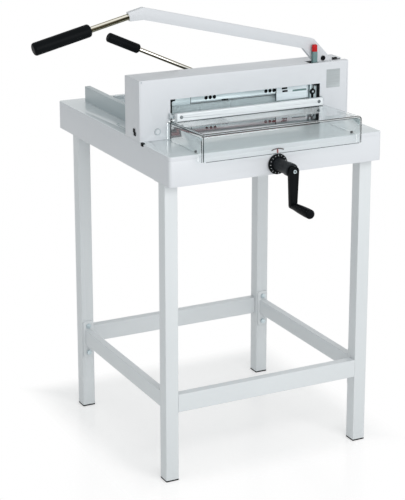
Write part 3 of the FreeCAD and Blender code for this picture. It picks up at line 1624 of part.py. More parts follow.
def crank_arm():
    """The tapered arm that hangs from the hub, with the grip's pin at its end."""
    _, _, collar, arm = crank_y()
    low_z = spindle_z - crank_arm_length
    lean = math.asin((crank_boss_radius - crank_end_radius) / crank_arm_length)
    up = (math.cos(lean), math.sin(lean))
    y = (arm, collar)
    taper = prism([
        (spindle_x - crank_boss_radius * up[0], spindle_z - crank_boss_radius * up[1]),
        (spindle_x + crank_boss_radius * up[0], spindle_z - crank_boss_radius * up[1]),
        (spindle_x + crank_end_radius * up[0], low_z - crank_end_radius * up[1]),
        (spindle_x - crank_end_radius * up[0], low_z - crank_end_radius * up[1]),
    ], y, "y")
    boss = rod(crank_boss_radius, (spindle_x, arm, spindle_z), (spindle_x, collar, spindle_z))
    end = rod(crank_end_radius, (spindle_x, arm, low_z), (spindle_x, collar, low_z))
    body = fused([taper, boss, end])
    pin = rod(crank_pin_radius, (spindle_x, arm - crank_pin_length, low_z), (spindle_x, arm + past, low_z))
    return fused([body.cut(hole(crank_screw_shank + crank_screw_clearance, spindle_x, spindle_z, y)), pin])


def dial_pointer():
    """A small sheet pointer on the table's front edge: a stem over the dial with a curved bar."""
    y = (-half_depth - pointer_thickness, -half_depth)
    reach = math.asin(pointer_half_width / pointer_radius)
    turns = [math.pi / 2 + reach * (1 - 2 * index / pointer_steps) for index in range(pointer_steps + 1)]
    centre = (spindle_x, spindle_z)
    inner = pointer_radius - pointer_height / 2
    outer = pointer_radius + pointer_height / 2
    points = from_polar([(outer, turn) for turn in turns] + [(inner, turn) for turn in reversed(turns)],
                        centre)
    stem = block(around(spindle_x, pointer_stem_width / 2), y,
                 (spindle_z + dial_radius + pointer_stem_gap, spindle_z + pointer_radius))
    return fused([prism(points, y, "y"), stem])


def crank_screw():
    _, _, collar, arm = crank_y()
    head = rod(crank_screw_radius, (spindle_x, arm - crank_screw_head, spindle_z),
               (spindle_x, arm, spindle_z))
    shank = rod(crank_screw_shank, (spindle_x, arm, spindle_z),
                (spindle_x, collar + crank_screw_length, spindle_z))
    socket = hexagon_bar(crank_screw_radius, (spindle_x, arm - crank_screw_head, spindle_z),
                         (spindle_x, arm - crank_screw_socket_floor, spindle_z))
    return fused([head, shank]).cut(socket)


def crank_grip():
    """The free-turning grip, which widens to its end."""
    _, _, _, arm = crank_y()
    start_y = arm - grip_end_gap
    low_z = spindle_z - crank_arm_length
    length = grip_length - grip_end_gap
    end_radius = grip_end_radius - grip_end_taper
    profile = [
        (0, 0),
        (0, grip_neck_radius),
        (length * grip_swell_start,
         grip_neck_radius + (grip_end_radius - grip_neck_radius) * grip_swell_share),
        (length * grip_swell_end, grip_end_radius),
        (length - grip_rounding, end_radius),
        (length - grip_rounding * grip_rounding_step, end_radius - grip_rounding * grip_rounding_step),
        (length, end_radius - grip_rounding),
        (length, 0),
    ]
    body = revolved(profile, (spindle_x, start_y, low_z), (0, -1, 0), (0, 0, 1))
    bore_end = arm - crank_pin_length - grip_end_gap
    return body.cut(rod(crank_pin_radius + running_clearance, (spindle_x, start_y + past, low_z),
                        (spindle_x, bore_end, low_z)))


# Safety catch

def catch_post():
    """The upright catch beside the lever's neck, pivoted behind the front plate."""
    half = catch_width / 2
    plate_y = (catch_back_y - catch_plate_thickness, catch_back_y)
    plate = block(around(catch_x, half), plate_y, (catch_pivot_z, catch_top_z))
    nose = rod(half, (catch_x, plate_y[0], catch_pivot_z), (catch_x, plate_y[1], catch_pivot_z))
    head = block(around(catch_x, half), (catch_front_y, catch_back_y),
                 (bridge_top_z + catch_foot_clearance, catch_top_z))
    bore = hole(catch_pin_radius + running_clearance, catch_x, catch_pivot_z, plate_y)
    return fused([plate, nose, head]).cut(bore)


def catch_cap():
    """The red cap on the catch, rounded over its top."""
    y = (catch_front_y - catch_cap_side, catch_back_y + catch_cap_side)
    cap = block(around(catch_x, catch_cap_width / 2), y, (catch_top_z, catch_top_z + catch_cap_height))
    upper = [e for e in cap.Edges if e.CenterOfMass.z > catch_top_z + catch_cap_height - tiny]
    return cap.makeFillet(catch_cap_rounding, upper + straight_edges(cap, Vec(0, 0, 1)))


def catch_pivot():
    """The pin in the front plate that the catch tips on."""
    head_y = catch_back_y + catch_pin_gap
    pin = rod(catch_pin_radius, (catch_x, front_frame_y[0], catch_pivot_z), (catch_x, head_y, catch_pivot_z))
    head = rod(catch_pin_head_radius, (catch_x, head_y, catch_pivot_z),
               (catch_x, head_y + catch_pin_head_height, catch_pivot_z))
    return fused([pin, head])


def front_button():
    z = table_top_z + button_height
    front = bridge_front_y - button_proud
    body = rod(button_radius, (button_x, front, z), (button_x, front + button_length, z))
    edges = [e for e in body.Edges if isinstance(e.Curve, Part.Circle) and e.CenterOfMass.y < front + tiny]
    return body.makeFillet(button_rounding, edges)


def model():
    """Every node of the machine, by name."""
    return {
        "leg_front_left": leg(-1, front_leg_y, 1),
        "leg_front_right": leg(1, front_leg_y, 1),
        "leg_rear_left": leg(-1, rear_leg_y, -1),
        "leg_rear_right": leg(1, rear_leg_y, -1),
        "foot_caps": foot_caps(),
        "rail_front": cross_rail(front_leg_y),
        "rail_rear": cross_rail(rear_leg_y + leg_size - cross_rail_depth),
        "rail_left": side_rail(-1),
        "rail_right": side_rail(1),
        "rail_bolts": rail_bolts(),
        "table_bolts": table_bolts(),
        "table_plate": table_plate(),
        "table_apron": table_apron(),
        "cutting_stick": cutting_stick(),
        "fence_left": fence(-1),
        "fence_right": fence(1),
        "spindle_bearings": spindle_bearings(),
        "front_frame": front_frame(),
        "rear_frame": rear_frame(),
        "frame_feet": frame_feet(),
        "frame_spacers": frame_spacers(),
        "housing_cover": housing_cover(),
        "end_cap_left": end_cap(-1),
        "end_cap_right": end_cap(1),
        "shaft_bushes": shaft_bushes(),
        "clamp_posts": clamp_posts(),
        "opening_liners": opening_liners(),
        "guard_ears": guard_ears(),
        "catch_pivot": catch_pivot(),
        "blade_carrier": blade_carrier(),
        "blade": blade(),
        "blade_screws": blade_screws(),
        "blade_rack": blade_rack(),
        "lever_shaft": lever_shaft(),
        "lever_pinion": lever_pinion(),
        "lever_arm": lever_arm(),
        "lever_bolt": lever_bolt(),
        "lever_rod": lever_rod(),
        "lever_grip": lever_grip(),
        "clamp_bar": clamp_bar(),
        "clamp_shaft": clamp_shaft(),
        "clamp_sector": clamp_sector(),
        "clamp_lever_rod": clamp_lever_rod(),
        "clamp_lever_grip": clamp_lever_grip(),
        "guard_hood": guard_hood(),
        "guard_hinge_bar": guard_hinge_bar(),
        "guard_screws": guard_screws(),
        "guard_bumpers": guard_bumpers(),
        "back_gauge": back_gauge(),
        "gauge_nut": gauge_nut(),
        "spindle": spindle(),
        "crank_dial": crank_dial(),
        "crank_hub": crank_hub(),
        "crank_arm": crank_arm(),
        "crank_screw": crank_screw(),
        "dial_pointer": dial_pointer(),
        "crank_grip": crank_grip(),
        "catch_post": catch_post(),
        "catch_cap": catch_cap(),
        "front_button": front_button(),
    }


os.makedirs("parts", exist_ok=True)
for name, shape in model().items():
    shape.exportStep("parts/" + name + ".step")
    if not shape.isValid() or not all(solid.isClosed() for solid in shape.Solids) or not shape.Solids:
        print("check", name)
print("lever swing", round(lever_swing, 3), "blade travel", round(blade_travel, 4))
print("clamp swing", round(clamp_swing, 3), "clamp travel", round(clamp_travel, 3))
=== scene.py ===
import json
import math

import bmesh
import bpy
from mathutils import Matrix, Vector

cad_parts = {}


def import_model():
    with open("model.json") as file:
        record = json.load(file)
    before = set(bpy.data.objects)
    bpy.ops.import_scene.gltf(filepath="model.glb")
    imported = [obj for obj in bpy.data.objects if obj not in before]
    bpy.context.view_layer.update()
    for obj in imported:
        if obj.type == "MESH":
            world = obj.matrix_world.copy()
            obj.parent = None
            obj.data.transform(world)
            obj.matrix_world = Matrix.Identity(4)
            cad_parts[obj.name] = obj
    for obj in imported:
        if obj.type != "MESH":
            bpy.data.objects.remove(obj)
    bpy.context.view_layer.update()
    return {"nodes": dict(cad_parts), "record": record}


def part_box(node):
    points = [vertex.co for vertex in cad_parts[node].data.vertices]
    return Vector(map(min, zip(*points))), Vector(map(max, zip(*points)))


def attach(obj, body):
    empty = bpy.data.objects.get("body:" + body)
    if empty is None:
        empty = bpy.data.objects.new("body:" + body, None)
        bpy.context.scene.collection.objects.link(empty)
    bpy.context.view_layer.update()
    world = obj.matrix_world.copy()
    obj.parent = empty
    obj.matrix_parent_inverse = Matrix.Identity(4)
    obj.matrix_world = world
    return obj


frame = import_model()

NODES = frame["nodes"]
MM = 0.001
NOISE_LOW = 0.3
NOISE_HIGH = 0.7


# Places of the frame, in millimetres

def box_mm(node):
    """A node's two corners in millimetres."""
    low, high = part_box(node)
    return low / MM, high / MM


COVER_LOW, COVER_HIGH = box_mm("housing_cover")
CAP_LOW, CAP_HIGH = box_mm("end_cap_left")
LINER_LOW, LINER_HIGH = box_mm("opening_liners")
STICK_LOW, STICK_HIGH = box_mm("cutting_stick")
BLADE_LOW, BLADE_HIGH = box_mm("blade")
HOOD_LOW, HOOD_HIGH = box_mm("guard_hood")
BAR_LOW, BAR_HIGH = box_mm("guard_hinge_bar")
DIAL_LOW, DIAL_HIGH = box_mm("crank_dial")
FEET_LOW, FEET_HIGH = box_mm("foot_caps")

FRONT_Y = COVER_LOW.y
TABLE_TOP_Z = COVER_LOW.z
COVER_TOP_Z = COVER_HIGH.z
FENCE_FRONT_Y = box_mm("fence_left")[0].y
POINTER_TOP_Z = box_mm("dial_pointer")[1].z
DIAL_CENTRE = (DIAL_LOW + DIAL_HIGH) / 2
DIAL_RADIUS = (DIAL_HIGH.x - DIAL_LOW.x) / 2

# The heads of the blade's screws lie flush with the front of its carrier
CARRIER_FRONT_Y = box_mm("blade_screws")[0].y


# Node helpers

def new_material(name):
    """An empty node material with its Principled shader."""
    material = bpy.data.materials.new(name)
    material.use_nodes = True
    shader = material.node_tree.nodes["Principled BSDF"]
    return material, shader


def add(material, kind, **settings):
    """A shader node with its settings."""
    node = material.node_tree.nodes.new(kind)
    for key, value in settings.items():
        setattr(node, key, value)
    return node


def link(material, source, target):
    """A wire between two sockets."""
    material.node_tree.links.new(source, target)


def place(material, scale=(1, 1, 1)):
    """Coordinates in metres that stay with the piece."""
    coordinates = add(material, "ShaderNodeTexCoord")
    mapping = add(material, "ShaderNodeMapping")
    mapping.inputs["Scale"].default_value = scale
    link(material, coordinates.outputs["Object"], mapping.inputs["Vector"])
    return mapping.outputs["Vector"]


def noise(material, vector, scale, detail=3.0, rough=0.5):
    """Cloudy noise from 0 to 1 at a scale per metre."""
    texture = add(material, "ShaderNodeTexNoise")
    texture.inputs["Scale"].default_value = scale
    texture.inputs["Detail"].default_value = detail
    texture.inputs["Roughness"].default_value = rough
    link(material, vector, texture.inputs["Vector"])
    return texture.outputs["Fac"]


def ramp(material, value, low, high, at=(NOISE_LOW, NOISE_HIGH)):
    """A value turned into a colour between two colours."""
    node = add(material, "ShaderNodeValToRGB")
    stops = node.color_ramp.elements
    for stop, position, colour in zip(stops, at, (low, high)):
        stop.position = position
        stop.color = (*colour, 1)
    link(material, value, node.inputs["Fac"])
    return node.outputs["Color"]


def spread(material, value, low, high):
    """A noise value mapped to a range."""
    node = add(material, "ShaderNodeMapRange")
    node.inputs["From Min"].default_value = NOISE_LOW
    node.inputs["From Max"].default_value = NOISE_HIGH
    node.inputs["To Min"].default_value = low
    node.inputs["To Max"].default_value = high
    link(material, value, node.inputs["Value"])
    return node.outputs["Result"]


def mixed(material, factor, low, high):
    """A colour mixed from two colours, each a value or another node's output."""
    node = add(material, "ShaderNodeMix", data_type="RGBA")
    link(material, factor, node.inputs["Factor"])
    for side, colour in (("A", low), ("B", high)):
        socket = next(s for s in node.inputs if s.name == side and s.type == "RGBA")
        if isinstance(colour, tuple):
            socket.default_value = (*colour, 1)
        else:
            link(material, colour, socket)
    return next(s for s in node.outputs if s.type == "RGBA")


def bell(material, value, reach):
    """1 inside a stretch and 0 outside it, from its low end, soft edge and high end in millimetres."""
    low, soft, high = (distance * MM for distance in reach)
    rise = add(material, "ShaderNodeMapRange", interpolation_type="SMOOTHSTEP")
    fall = add(material, "ShaderNodeMapRange", interpolation_type="SMOOTHSTEP")
    for node, start, end in ((rise, low, low + soft), (fall, high, high - soft)):
        node.inputs["From Min"].default_value = start
        node.inputs["From Max"].default_value = end
        link(material, value, node.inputs["Value"])
    both = add(material, "ShaderNodeMath", operation="MULTIPLY")
    link(material, rise.outputs["Result"], both.inputs[0])
    link(material, fall.outputs["Result"], both.inputs[1])
    return both.outputs[0]


def bump(material, value, distance, strength=1.0):
    """A bump of a real height in metres."""
    node = add(material, "ShaderNodeBump")
    node.inputs["Distance"].default_value = distance
    node.inputs["Strength"].default_value = strength
    link(material, value, node.inputs["Height"])
    return node.outputs["Normal"]


def tinted(colour, factor):
    """A colour made lighter or darker."""
    return tuple(min(1.0, channel * factor) for channel in colour)


# Materials

def powder_coat(name, colour, roughness=0.36):
    """Stoved powder paint: even colour, fine orange peel and slightly uneven gloss."""
    material, shader = new_material(name)
    vector = place(material)
    cloud = noise(material, vector, scale=3.0)
    tint = ramp(material, cloud, tinted(colour, 0.985), tinted(colour, 1.012))
    link(material, tint, shader.inputs["Base Color"])
    blotch = noise(material, vector, scale=14.0)
    link(material, spread(material, blotch, roughness - 0.03, roughness + 0.04), shader.inputs["Roughness"])
    peel = noise(material, vector, scale=420.0, detail=2.0)
    link(material, bump(material, peel, distance=0.05 * MM, strength=0.6), shader.inputs["Normal"])
    return material


def table_enamel(name, side_colour, top_colour, bed_shade_colour, stain_and_shade_colour):
    """Hard enamel with painted sides and a bed darkened by painted shade, with a red stain along the cutting
    stick.
    """
    material, shader = new_material(name)
    vector = place(material)
    cloud = noise(material, vector, scale=2.2, detail=4.0)
    enamel = ramp(material, cloud, tinted(top_colour, 0.95), tinted(top_colour, 1.04))
    # The bed colours below are painted shade under the bridge: the red stain along the stick is darkened by
    # painted shade too, and the noise only mottles both.
    bed_mottle = noise(material, place(material, scale=(40, 240, 40)), scale=1.0, detail=5.0)
    bare = ramp(material, bed_mottle, tinted(bed_shade_colour, 0.6), tinted(bed_shade_colour, 1.5))
    stain_in_shade = ramp(material, bed_mottle, tinted(stain_and_shade_colour, 0.6), tinted(stain_and_shade_colour, 1.5))
    across = add(material, "ShaderNodeSeparateXYZ")
    link(material, vector, across.inputs["Vector"])
    by_stick = bell(material, across.outputs["Y"], STAIN_DEPTH)
    in_shaded_bed = add(material, "ShaderNodeMath", operation="MULTIPLY")
    link(material, bell(material, across.outputs["Y"], BED_DEPTH), in_shaded_bed.inputs[0])
    link(material, bell(material, across.outputs["X"], BED_WIDTH), in_shaded_bed.inputs[1])
    bed = mixed(material, by_stick, bare, stain_in_shade)
    top = mixed(material, in_shaded_bed.outputs[0], enamel, bed)
    facing = add(material, "ShaderNodeTexCoord")
    height = add(material, "ShaderNodeSeparateXYZ")
    link(material, facing.outputs["Normal"], height.inputs["Vector"])
    upward = ramp(material, height.outputs["Z"], (0, 0, 0), (1, 1, 1), at=(0.5, 0.85))
    link(material, mixed(material, upward, side_colour, top), shader.inputs["Base Color"])
    wear = noise(material, place(material, scale=(6, 60, 6)), scale=1.0, detail=5.0, rough=0.6)
    polish = ramp(material, wear, (0.12, 0.12, 0.12), (0.20, 0.20, 0.20))
    polish = mixed(material, in_shaded_bed.outputs[0], polish, (0.0, 0.0, 0.0))
    # The bed also loses its shine, so that its painted shade stays dark.
    shine = mixed(material, in_shaded_bed.outputs[0], (0.3, 0.3, 0.3), (0.01, 0.01, 0.01))
    link(material, shine, shader.inputs["Specular IOR Level"])
    roughness = mixed(material, upward, (0.36, 0.36, 0.36), (0.16, 0.16, 0.16))
    link(material, roughness, shader.inputs["Roughness"])
    peel = noise(material, vector, scale=160.0, detail=2.0)
    link(material, bump(material, peel, distance=0.02 * MM, strength=0.4), shader.inputs["Normal"])
    link(material, mixed(material, upward, (0, 0, 0), polish), shader.inputs["Metallic"])
    return material


def moulded_plastic(name, colour, roughness, gloss=0.5, cloud_depth=0.1):
    """Injection-moulded plastic with a fine spark-eroded grain."""
    material, shader = new_material(name)
    shader.inputs["Specular IOR Level"].default_value = gloss
    vector = place(material)
    cloud = noise(material, vector, scale=25.0)
    tint = ramp(material, cloud, tinted(colour, 1 - cloud_depth), tinted(colour, 1 + cloud_depth))
    link(material, tint, shader.inputs["Base Color"])
    link(material, spread(material, cloud, roughness - 0.05, roughness + 0.05), shader.inputs["Roughness"])
    skin = noise(material, vector, scale=900.0, detail=2.0, rough=0.6)
    link(material, bump(material, skin, distance=0.04 * MM, strength=0.7), shader.inputs["Normal"])
    return material


def brushed_metal(name, colour, roughness, streak, direction, metallic=1.0):
    """Ground or milled metal, with fine lines along one direction. The streak is their depth."""
    material, shader = new_material(name)
    stretch = [420.0, 420.0, 420.0]
    stretch["xyz".index(direction)] = 6.0
    lines = noise(material, place(material, scale=stretch), scale=1.0, detail=4.0, rough=0.7)
    cloud = noise(material, place(material), scale=9.0)
    tint = ramp(material, lines, tinted(colour, 0.86), tinted(colour, 1.08))
    link(material, tint, shader.inputs["Base Color"])
    link(material, spread(material, cloud, roughness - 0.05, roughness + 0.07), shader.inputs["Roughness"])
    link(material, bump(material, lines, distance=streak, strength=0.5), shader.inputs["Normal"])
    shader.inputs["Metallic"].default_value = metallic
    return material


def chrome(name, bands):
    """Bright plating whose reflection of a white studio is painted into its colour: bands of light and dark
    from its lower to its upper side.
    """
    material, shader = new_material(name)
    facing = add(material, "ShaderNodeTexCoord")
    height = add(material, "ShaderNodeSeparateXYZ")
    link(material, facing.outputs["Normal"], height.inputs["Vector"])
    rise = add(material, "ShaderNodeMapRange")
    rise.inputs["From Min"].default_value = -1.0
    link(material, height.outputs["Z"], rise.inputs["Value"])
    painted_reflection = add(material, "ShaderNodeValToRGB")
    stops = painted_reflection.color_ramp.elements
    for position, _ in bands[1:-1]:
        stops.new(position)
    for stop, (position, colour) in zip(stops, bands):
        stop.position = position
        stop.color = (*colour, 1)
    link(material, rise.outputs["Result"], painted_reflection.inputs["Fac"])
    haze = noise(material, place(material, scale=(90, 90, 90)), scale=1.0, detail=4.0)
    link(material, painted_reflection.outputs["Color"], shader.inputs["Base Color"])
    link(material, spread(material, haze, 0.12, 0.22), shader.inputs["Roughness"])
    shader.inputs["Metallic"].default_value = 1.0
    # Its olive edge tint is painted reflection too.
    shader.inputs["Specular Tint"].default_value = (0.45, 0.42, 0.32, 1)
    return material


def acrylic(name):
    """Clear bent sheet: nearly colourless through its faces, darker teal where the path in it is long."""
    material, shader = new_material(name)
    haze = noise(material, place(material), scale=30.0, detail=4.0)
    face = ramp(material, haze, (0.985, 0.99, 0.99), (0.995, 1.0, 1.0))
    link(material, face, shader.inputs["Base Color"])
    link(material, spread(material, haze, 0.0, 0.02), shader.inputs["Roughness"])
    shader.inputs["Transmission Weight"].default_value = 1.0
    shader.inputs["IOR"].default_value = 1.45
    shader.inputs["Specular IOR Level"].default_value = 0.06
    body = add(material, "ShaderNodeVolumeAbsorption")
    body.inputs["Color"].default_value = (0.35, 0.55, 0.56, 1)
    body.inputs["Density"].default_value = 14.0
    output = material.node_tree.nodes["Material Output"]
    link(material, body.outputs["Volume"], output.inputs["Volume"])
    paths = add(material, "ShaderNodeLightPath")
    lighting = add(material, "ShaderNodeMath", operation="MAXIMUM")
    link(material, paths.outputs["Is Shadow Ray"], lighting.inputs[0])
    link(material, paths.outputs["Is Diffuse Ray"], lighting.inputs[1])
    passing = add(material, "ShaderNodeBsdfTransparent")
    passing.inputs["Color"].default_value = (0.96, 0.97, 0.97, 1)
    choose = add(material, "ShaderNodeMixShader")
    link(material, lighting.outputs[0], choose.inputs["Fac"])
    link(material, shader.outputs[0], choose.inputs[1])
    link(material, passing.outputs[0], choose.inputs[2])
    link(material, choose.outputs[0], output.inputs["Surface"])
    return material


def pointer_paint(name, centre, arc_radius):
    """The dial pointer's red-brown stem and nearly black arc, with lengths in millimetres."""
    material, shader = new_material(name)
    from_axis = add(material, "ShaderNodeVectorMath", operation="SUBTRACT")
    flat = add(material, "ShaderNodeVectorMath", operation="MULTIPLY")
    far = add(material, "ShaderNodeVectorMath", operation="LENGTH")
    link(material, place(material), from_axis.inputs[0])
    from_axis.inputs[1].default_value = centre * MM
    link(material, from_axis.outputs["Vector"], flat.inputs[0])
    flat.inputs[1].default_value = (1, 0, 1)
    link(material, flat.outputs["Vector"], far.inputs[0])
    soft = 0.3
    arc = add(material, "ShaderNodeMapRange")
    arc.inputs["From Min"].default_value = (arc_radius - soft) * MM
    arc.inputs["From Max"].default_value = (arc_radius + soft) * MM
    link(material, far.outputs["Value"], arc.inputs["Value"])
    tint = mixed(material, arc.outputs["Result"], (0.30, 0.05, 0.045), (0.03, 0.015, 0.015))
    link(material, tint, shader.inputs["Base Color"])
    grain = noise(material, place(material), scale=600.0)
    link(material, bump(material, grain, distance=0.02 * MM), shader.inputs["Normal"])
    shader.inputs["Roughness"].default_value = 0.4
    return material


def cast_metal(name, colour):
    """Machined casting with a grainy, slightly oily skin."""
    material, shader = new_material(name)
    vector = place(material)
    grain = noise(material, vector, scale=260.0, detail=5.0, rough=0.7)
    cloud = noise(material, vector, scale=12.0)
    tint = ramp(material, cloud, tinted(colour, 0.85), tinted(colour, 1.15))
    link(material, tint, shader.inputs["Base Color"])
    link(material, spread(material, grain, 0.4, 0.6), shader.inputs["Roughness"])
    link(material, bump(material, grain, distance=0.1 * MM, strength=0.6), shader.inputs["Normal"])
    shader.inputs["Metallic"].default_value = 0.7
    return material


PAINT = (0.678, 0.688, 0.714)
STAND_PAINT = (0.70, 0.720, 0.731)
TABLE_TOP = (0.70, 0.735, 0.75)
# The bed's colour is painted shade under the bridge; the stain is red, darkened by painted shade too.
BED_PAINTED_SHADE = (0.030, 0.022, 0.026)
STAIN_AND_SHADE = (0.16, 0.03, 0.035)

# Stretches across the table, each as its low end, soft edge and high end in millimetres
BED_WIDTH = (LINER_LOW.x - 2.5, 3, LINER_HIGH.x + 2.5)
BED_DEPTH = (FRONT_Y + 6, 4, FENCE_FRONT_Y)
STAIN_DEPTH = (STICK_LOW.y - 17, 6, STICK_HIGH.y + 17)

POINTER_ARC_WIDTH = 3.2
POINTER_ARC_RADIUS = POINTER_TOP_Z - DIAL_CENTRE.z - POINTER_ARC_WIDTH

# Painted reflection on a chromed rod, as bands: the height of its surface normal, 0 facing down and 1 facing
# up, and a colour
LEVER_ROD_PAINTED_REFLECTION = [
    (0.0, (0.40, 0.38, 0.29)), (0.32, (0.32, 0.30, 0.22)), (0.40, (0.02, 0.018, 0.010)),
    (0.70, (0.03, 0.025, 0.015)), (0.76, (0.74, 0.71, 0.60)), (0.92, (0.86, 0.84, 0.76)),
    (0.97, (0.26, 0.24, 0.17)),
]
CLAMP_ROD_PAINTED_REFLECTION = [
    (0.0, (0.30, 0.28, 0.20)), (0.22, (0.10, 0.09, 0.06)), (0.42, (0.12, 0.11, 0.08)),
    (0.52, (0.86, 0.84, 0.78)), (0.72, (0.92, 0.90, 0.85)), (0.82, (0.12, 0.11, 0.08)),
    (0.95, (0.30, 0.28, 0.20)),
]

FINE_STREAK = 0.02 * MM
COARSE_STREAK = 0.03 * MM


def paints():
    """Stoved paints and the table's enamel."""
    return {
        "paint": powder_coat("paint", PAINT),
        "table_paint": table_enamel("table_paint", PAINT, TABLE_TOP, BED_PAINTED_SHADE, STAIN_AND_SHADE),
        "stand_paint": powder_coat("stand_paint", STAND_PAINT),
        "cap_paint": powder_coat("cap_paint", tinted(PAINT, 0.97)),
        "lever_paint": powder_coat("lever_paint", tinted(PAINT, 0.9)),
        "fence_paint": powder_coat("fence_paint", (0.44, 0.50, 0.52)),
        "pointer_paint": pointer_paint("pointer_paint", DIAL_CENTRE, POINTER_ARC_RADIUS),
    }


def plastics():
    """Moulded plastics, rubber and the hood's clear sheet."""
    return {
        "black_plastic": moulded_plastic("black_plastic", (0.006, 0.007, 0.008), 0.28, gloss=0.025),
        "hub_plastic": moulded_plastic("hub_plastic", (0.022, 0.025, 0.028), 0.35, gloss=0.12),
        "black_fastener": moulded_plastic("black_fastener", (0.006, 0.007, 0.009), 0.30, gloss=0.05),
        "red_plastic": moulded_plastic("red_plastic", (0.50, 0.012, 0.014), 0.30, gloss=0.15),
        "stick_red": moulded_plastic("stick_red", (0.34, 0.03, 0.04), 0.35, gloss=0.02),
        "white_plastic": moulded_plastic("white_plastic", (0.86, 0.88, 0.90), 0.35, cloud_depth=0.02),
        "grey_plastic": moulded_plastic("grey_plastic", (0.50, 0.54, 0.56), 0.4, cloud_depth=0.04),
        "black_rubber": moulded_plastic("black_rubber", (0.006, 0.007, 0.008), 0.5, gloss=0.05),
        "catch_steel": moulded_plastic("catch_steel", (0.15, 0.24, 0.24), 0.4, gloss=0.2),
        # Dark lines on the hood: painted reflection in its bends and lower edge, painted shadow under the
        # hinge bar.
        "painted_reflection_and_shadow": moulded_plastic("painted_reflection_and_shadow", (0.030, 0.045, 0.048), 0.4, gloss=0.1),
        "clear_acrylic": acrylic("clear_acrylic"),
    }


def metals():
    """Ground, plated and cast metals."""
    return {
        "zinc_fastener": brushed_metal("zinc_fastener", (0.58, 0.67, 0.70), 0.32, FINE_STREAK, "x"),
        "machined_steel": brushed_metal("machined_steel", (0.42, 0.42, 0.42), 0.28, COARSE_STREAK, "y"),
        "blade_steel": brushed_metal("blade_steel", (0.60, 0.68, 0.70), 0.25, FINE_STREAK, "x", metallic=0.3),
        "carrier_steel": brushed_metal("carrier_steel", (0.68, 0.79, 0.82), 0.30, COARSE_STREAK, "x",
                                       metallic=0.2),
        "cast_frame": cast_metal("cast_frame", (0.22, 0.24, 0.25)),
        "bronze": brushed_metal("bronze", (0.50, 0.36, 0.18), 0.30, FINE_STREAK, "y"),
        "aluminium": brushed_metal("aluminium", (0.50, 0.55, 0.57), 0.34, COARSE_STREAK, "x"),
        "chrome": chrome("chrome", LEVER_ROD_PAINTED_REFLECTION),
        "clamp_chrome": chrome("clamp_chrome", CLAMP_ROD_PAINTED_REFLECTION),
        "label_foil": brushed_metal("label_foil", (0.42, 0.45, 0.46), 0.35, 0.01 * MM, "x", metallic=0.25),
        "pale_steel": brushed_metal("pale_steel", (0.80, 0.88, 0.92), 0.30, FINE_STREAK, "x", metallic=0.2),
        # Dark zinc; on the guard screws its darkness is painted shade.
        "dark_zinc_and_painted_shade": brushed_metal("dark_zinc_and_painted_shade", (0.16, 0.18, 0.19), 0.35, FINE_STREAK, "x"),
    }


MATERIALS = {**paints(), **plastics(), **metals()}

OWN_MATERIAL = {
    # The guard screws are darkened all over, painted shade for the dark ring round their heads.
    "table_plate": "table_paint", "guard_screws": "dark_zinc_and_painted_shade", "catch_post": "catch_steel",
    "fence_left": "fence_paint", "fence_right": "fence_paint", "dial_pointer": "pointer_paint",
    "lever_arm": "lever_paint", "crank_hub": "hub_plastic", "cutting_stick": "stick_red",
    "clamp_lever_rod": "clamp_chrome",
}
STAND_NODES = ("leg_front_left", "leg_front_right", "leg_rear_left", "leg_rear_right",
               "rail_front", "rail_rear", "rail_left", "rail_right")
OWN_MATERIAL.update(dict.fromkeys(STAND_NODES, "stand_paint"))


# Finish of the solids

SMOOTH_BELOW = math.radians(32)
ROUND_ABOVE = math.radians(40)


def smooth_by_angle():
    """A node group that shades a mesh smooth except across its sharp edges."""
    group = bpy.data.node_groups.new("smooth_by_angle", "GeometryNodeTree")
    group.interface.new_socket("Geometry", in_out="INPUT", socket_type="NodeSocketGeometry")
    group.interface.new_socket("Geometry", in_out="OUTPUT", socket_type="NodeSocketGeometry")
    nodes = group.nodes
    links = group.links
    start = nodes.new("NodeGroupInput")
    end = nodes.new("NodeGroupOutput")
    angle = nodes.new("GeometryNodeInputMeshEdgeAngle")
    flat = nodes.new("FunctionNodeCompare")
    flat.operation = "LESS_THAN"
    flat.inputs["B"].default_value = SMOOTH_BELOW
    faces = nodes.new("GeometryNodeSetShadeSmooth")
    edges = nodes.new("GeometryNodeSetShadeSmooth")
    edges.domain = "EDGE"
    links.new(angle.outputs["Unsigned Angle"], flat.inputs["A"])
    links.new(start.outputs["Geometry"], faces.inputs["Geometry"])
    links.new(faces.outputs["Geometry"], edges.inputs["Geometry"])
    links.new(flat.outputs["Result"], edges.inputs["Shade Smooth"])
    links.new(edges.outputs["Geometry"], end.inputs["Geometry"])
    return group


SMOOTH = smooth_by_angle()
EDGE_ROUNDING = 0.7 * MM
NO_ROUNDING = {"guard_hood", "blade", "lever_pinion", "blade_rack", "clamp_sector", "crank_hub"}


def shade_smooth(obj):
    """Smooth shading that keeps sharp edges."""
    shade = obj.modifiers.new("shade", "NODES")
    shade.node_group = SMOOTH


def round_edges(obj, width):
    """A small rounding on every sharp edge, so that edges catch light."""
    bevel = obj.modifiers.new("edges", "BEVEL")
    bevel.width = width
    bevel.segments = 2
    bevel.limit_method = "ANGLE"
    bevel.angle_limit = ROUND_ABOVE
    bevel.use_clamp_overlap = True


def dress_solids():
    """Gives every CAD node its material and smooth curves, and most of them lightly rounded edges."""
    slots = {row["node"]: row["material_slot"] for row in frame["record"]["subparts"]}
    for name, obj in NODES.items():
        obj.data.materials.clear()
        obj.data.materials.append(MATERIALS[OWN_MATERIAL.get(name, slots[name])])
        weld = obj.modifiers.new("weld", "WELD")
        weld.merge_threshold = 0.01 * MM
        if name not in NO_ROUNDING:
            round_edges(obj, EDGE_ROUNDING)
        shade_smooth(obj)


dress_solids()


# Dressing pieces

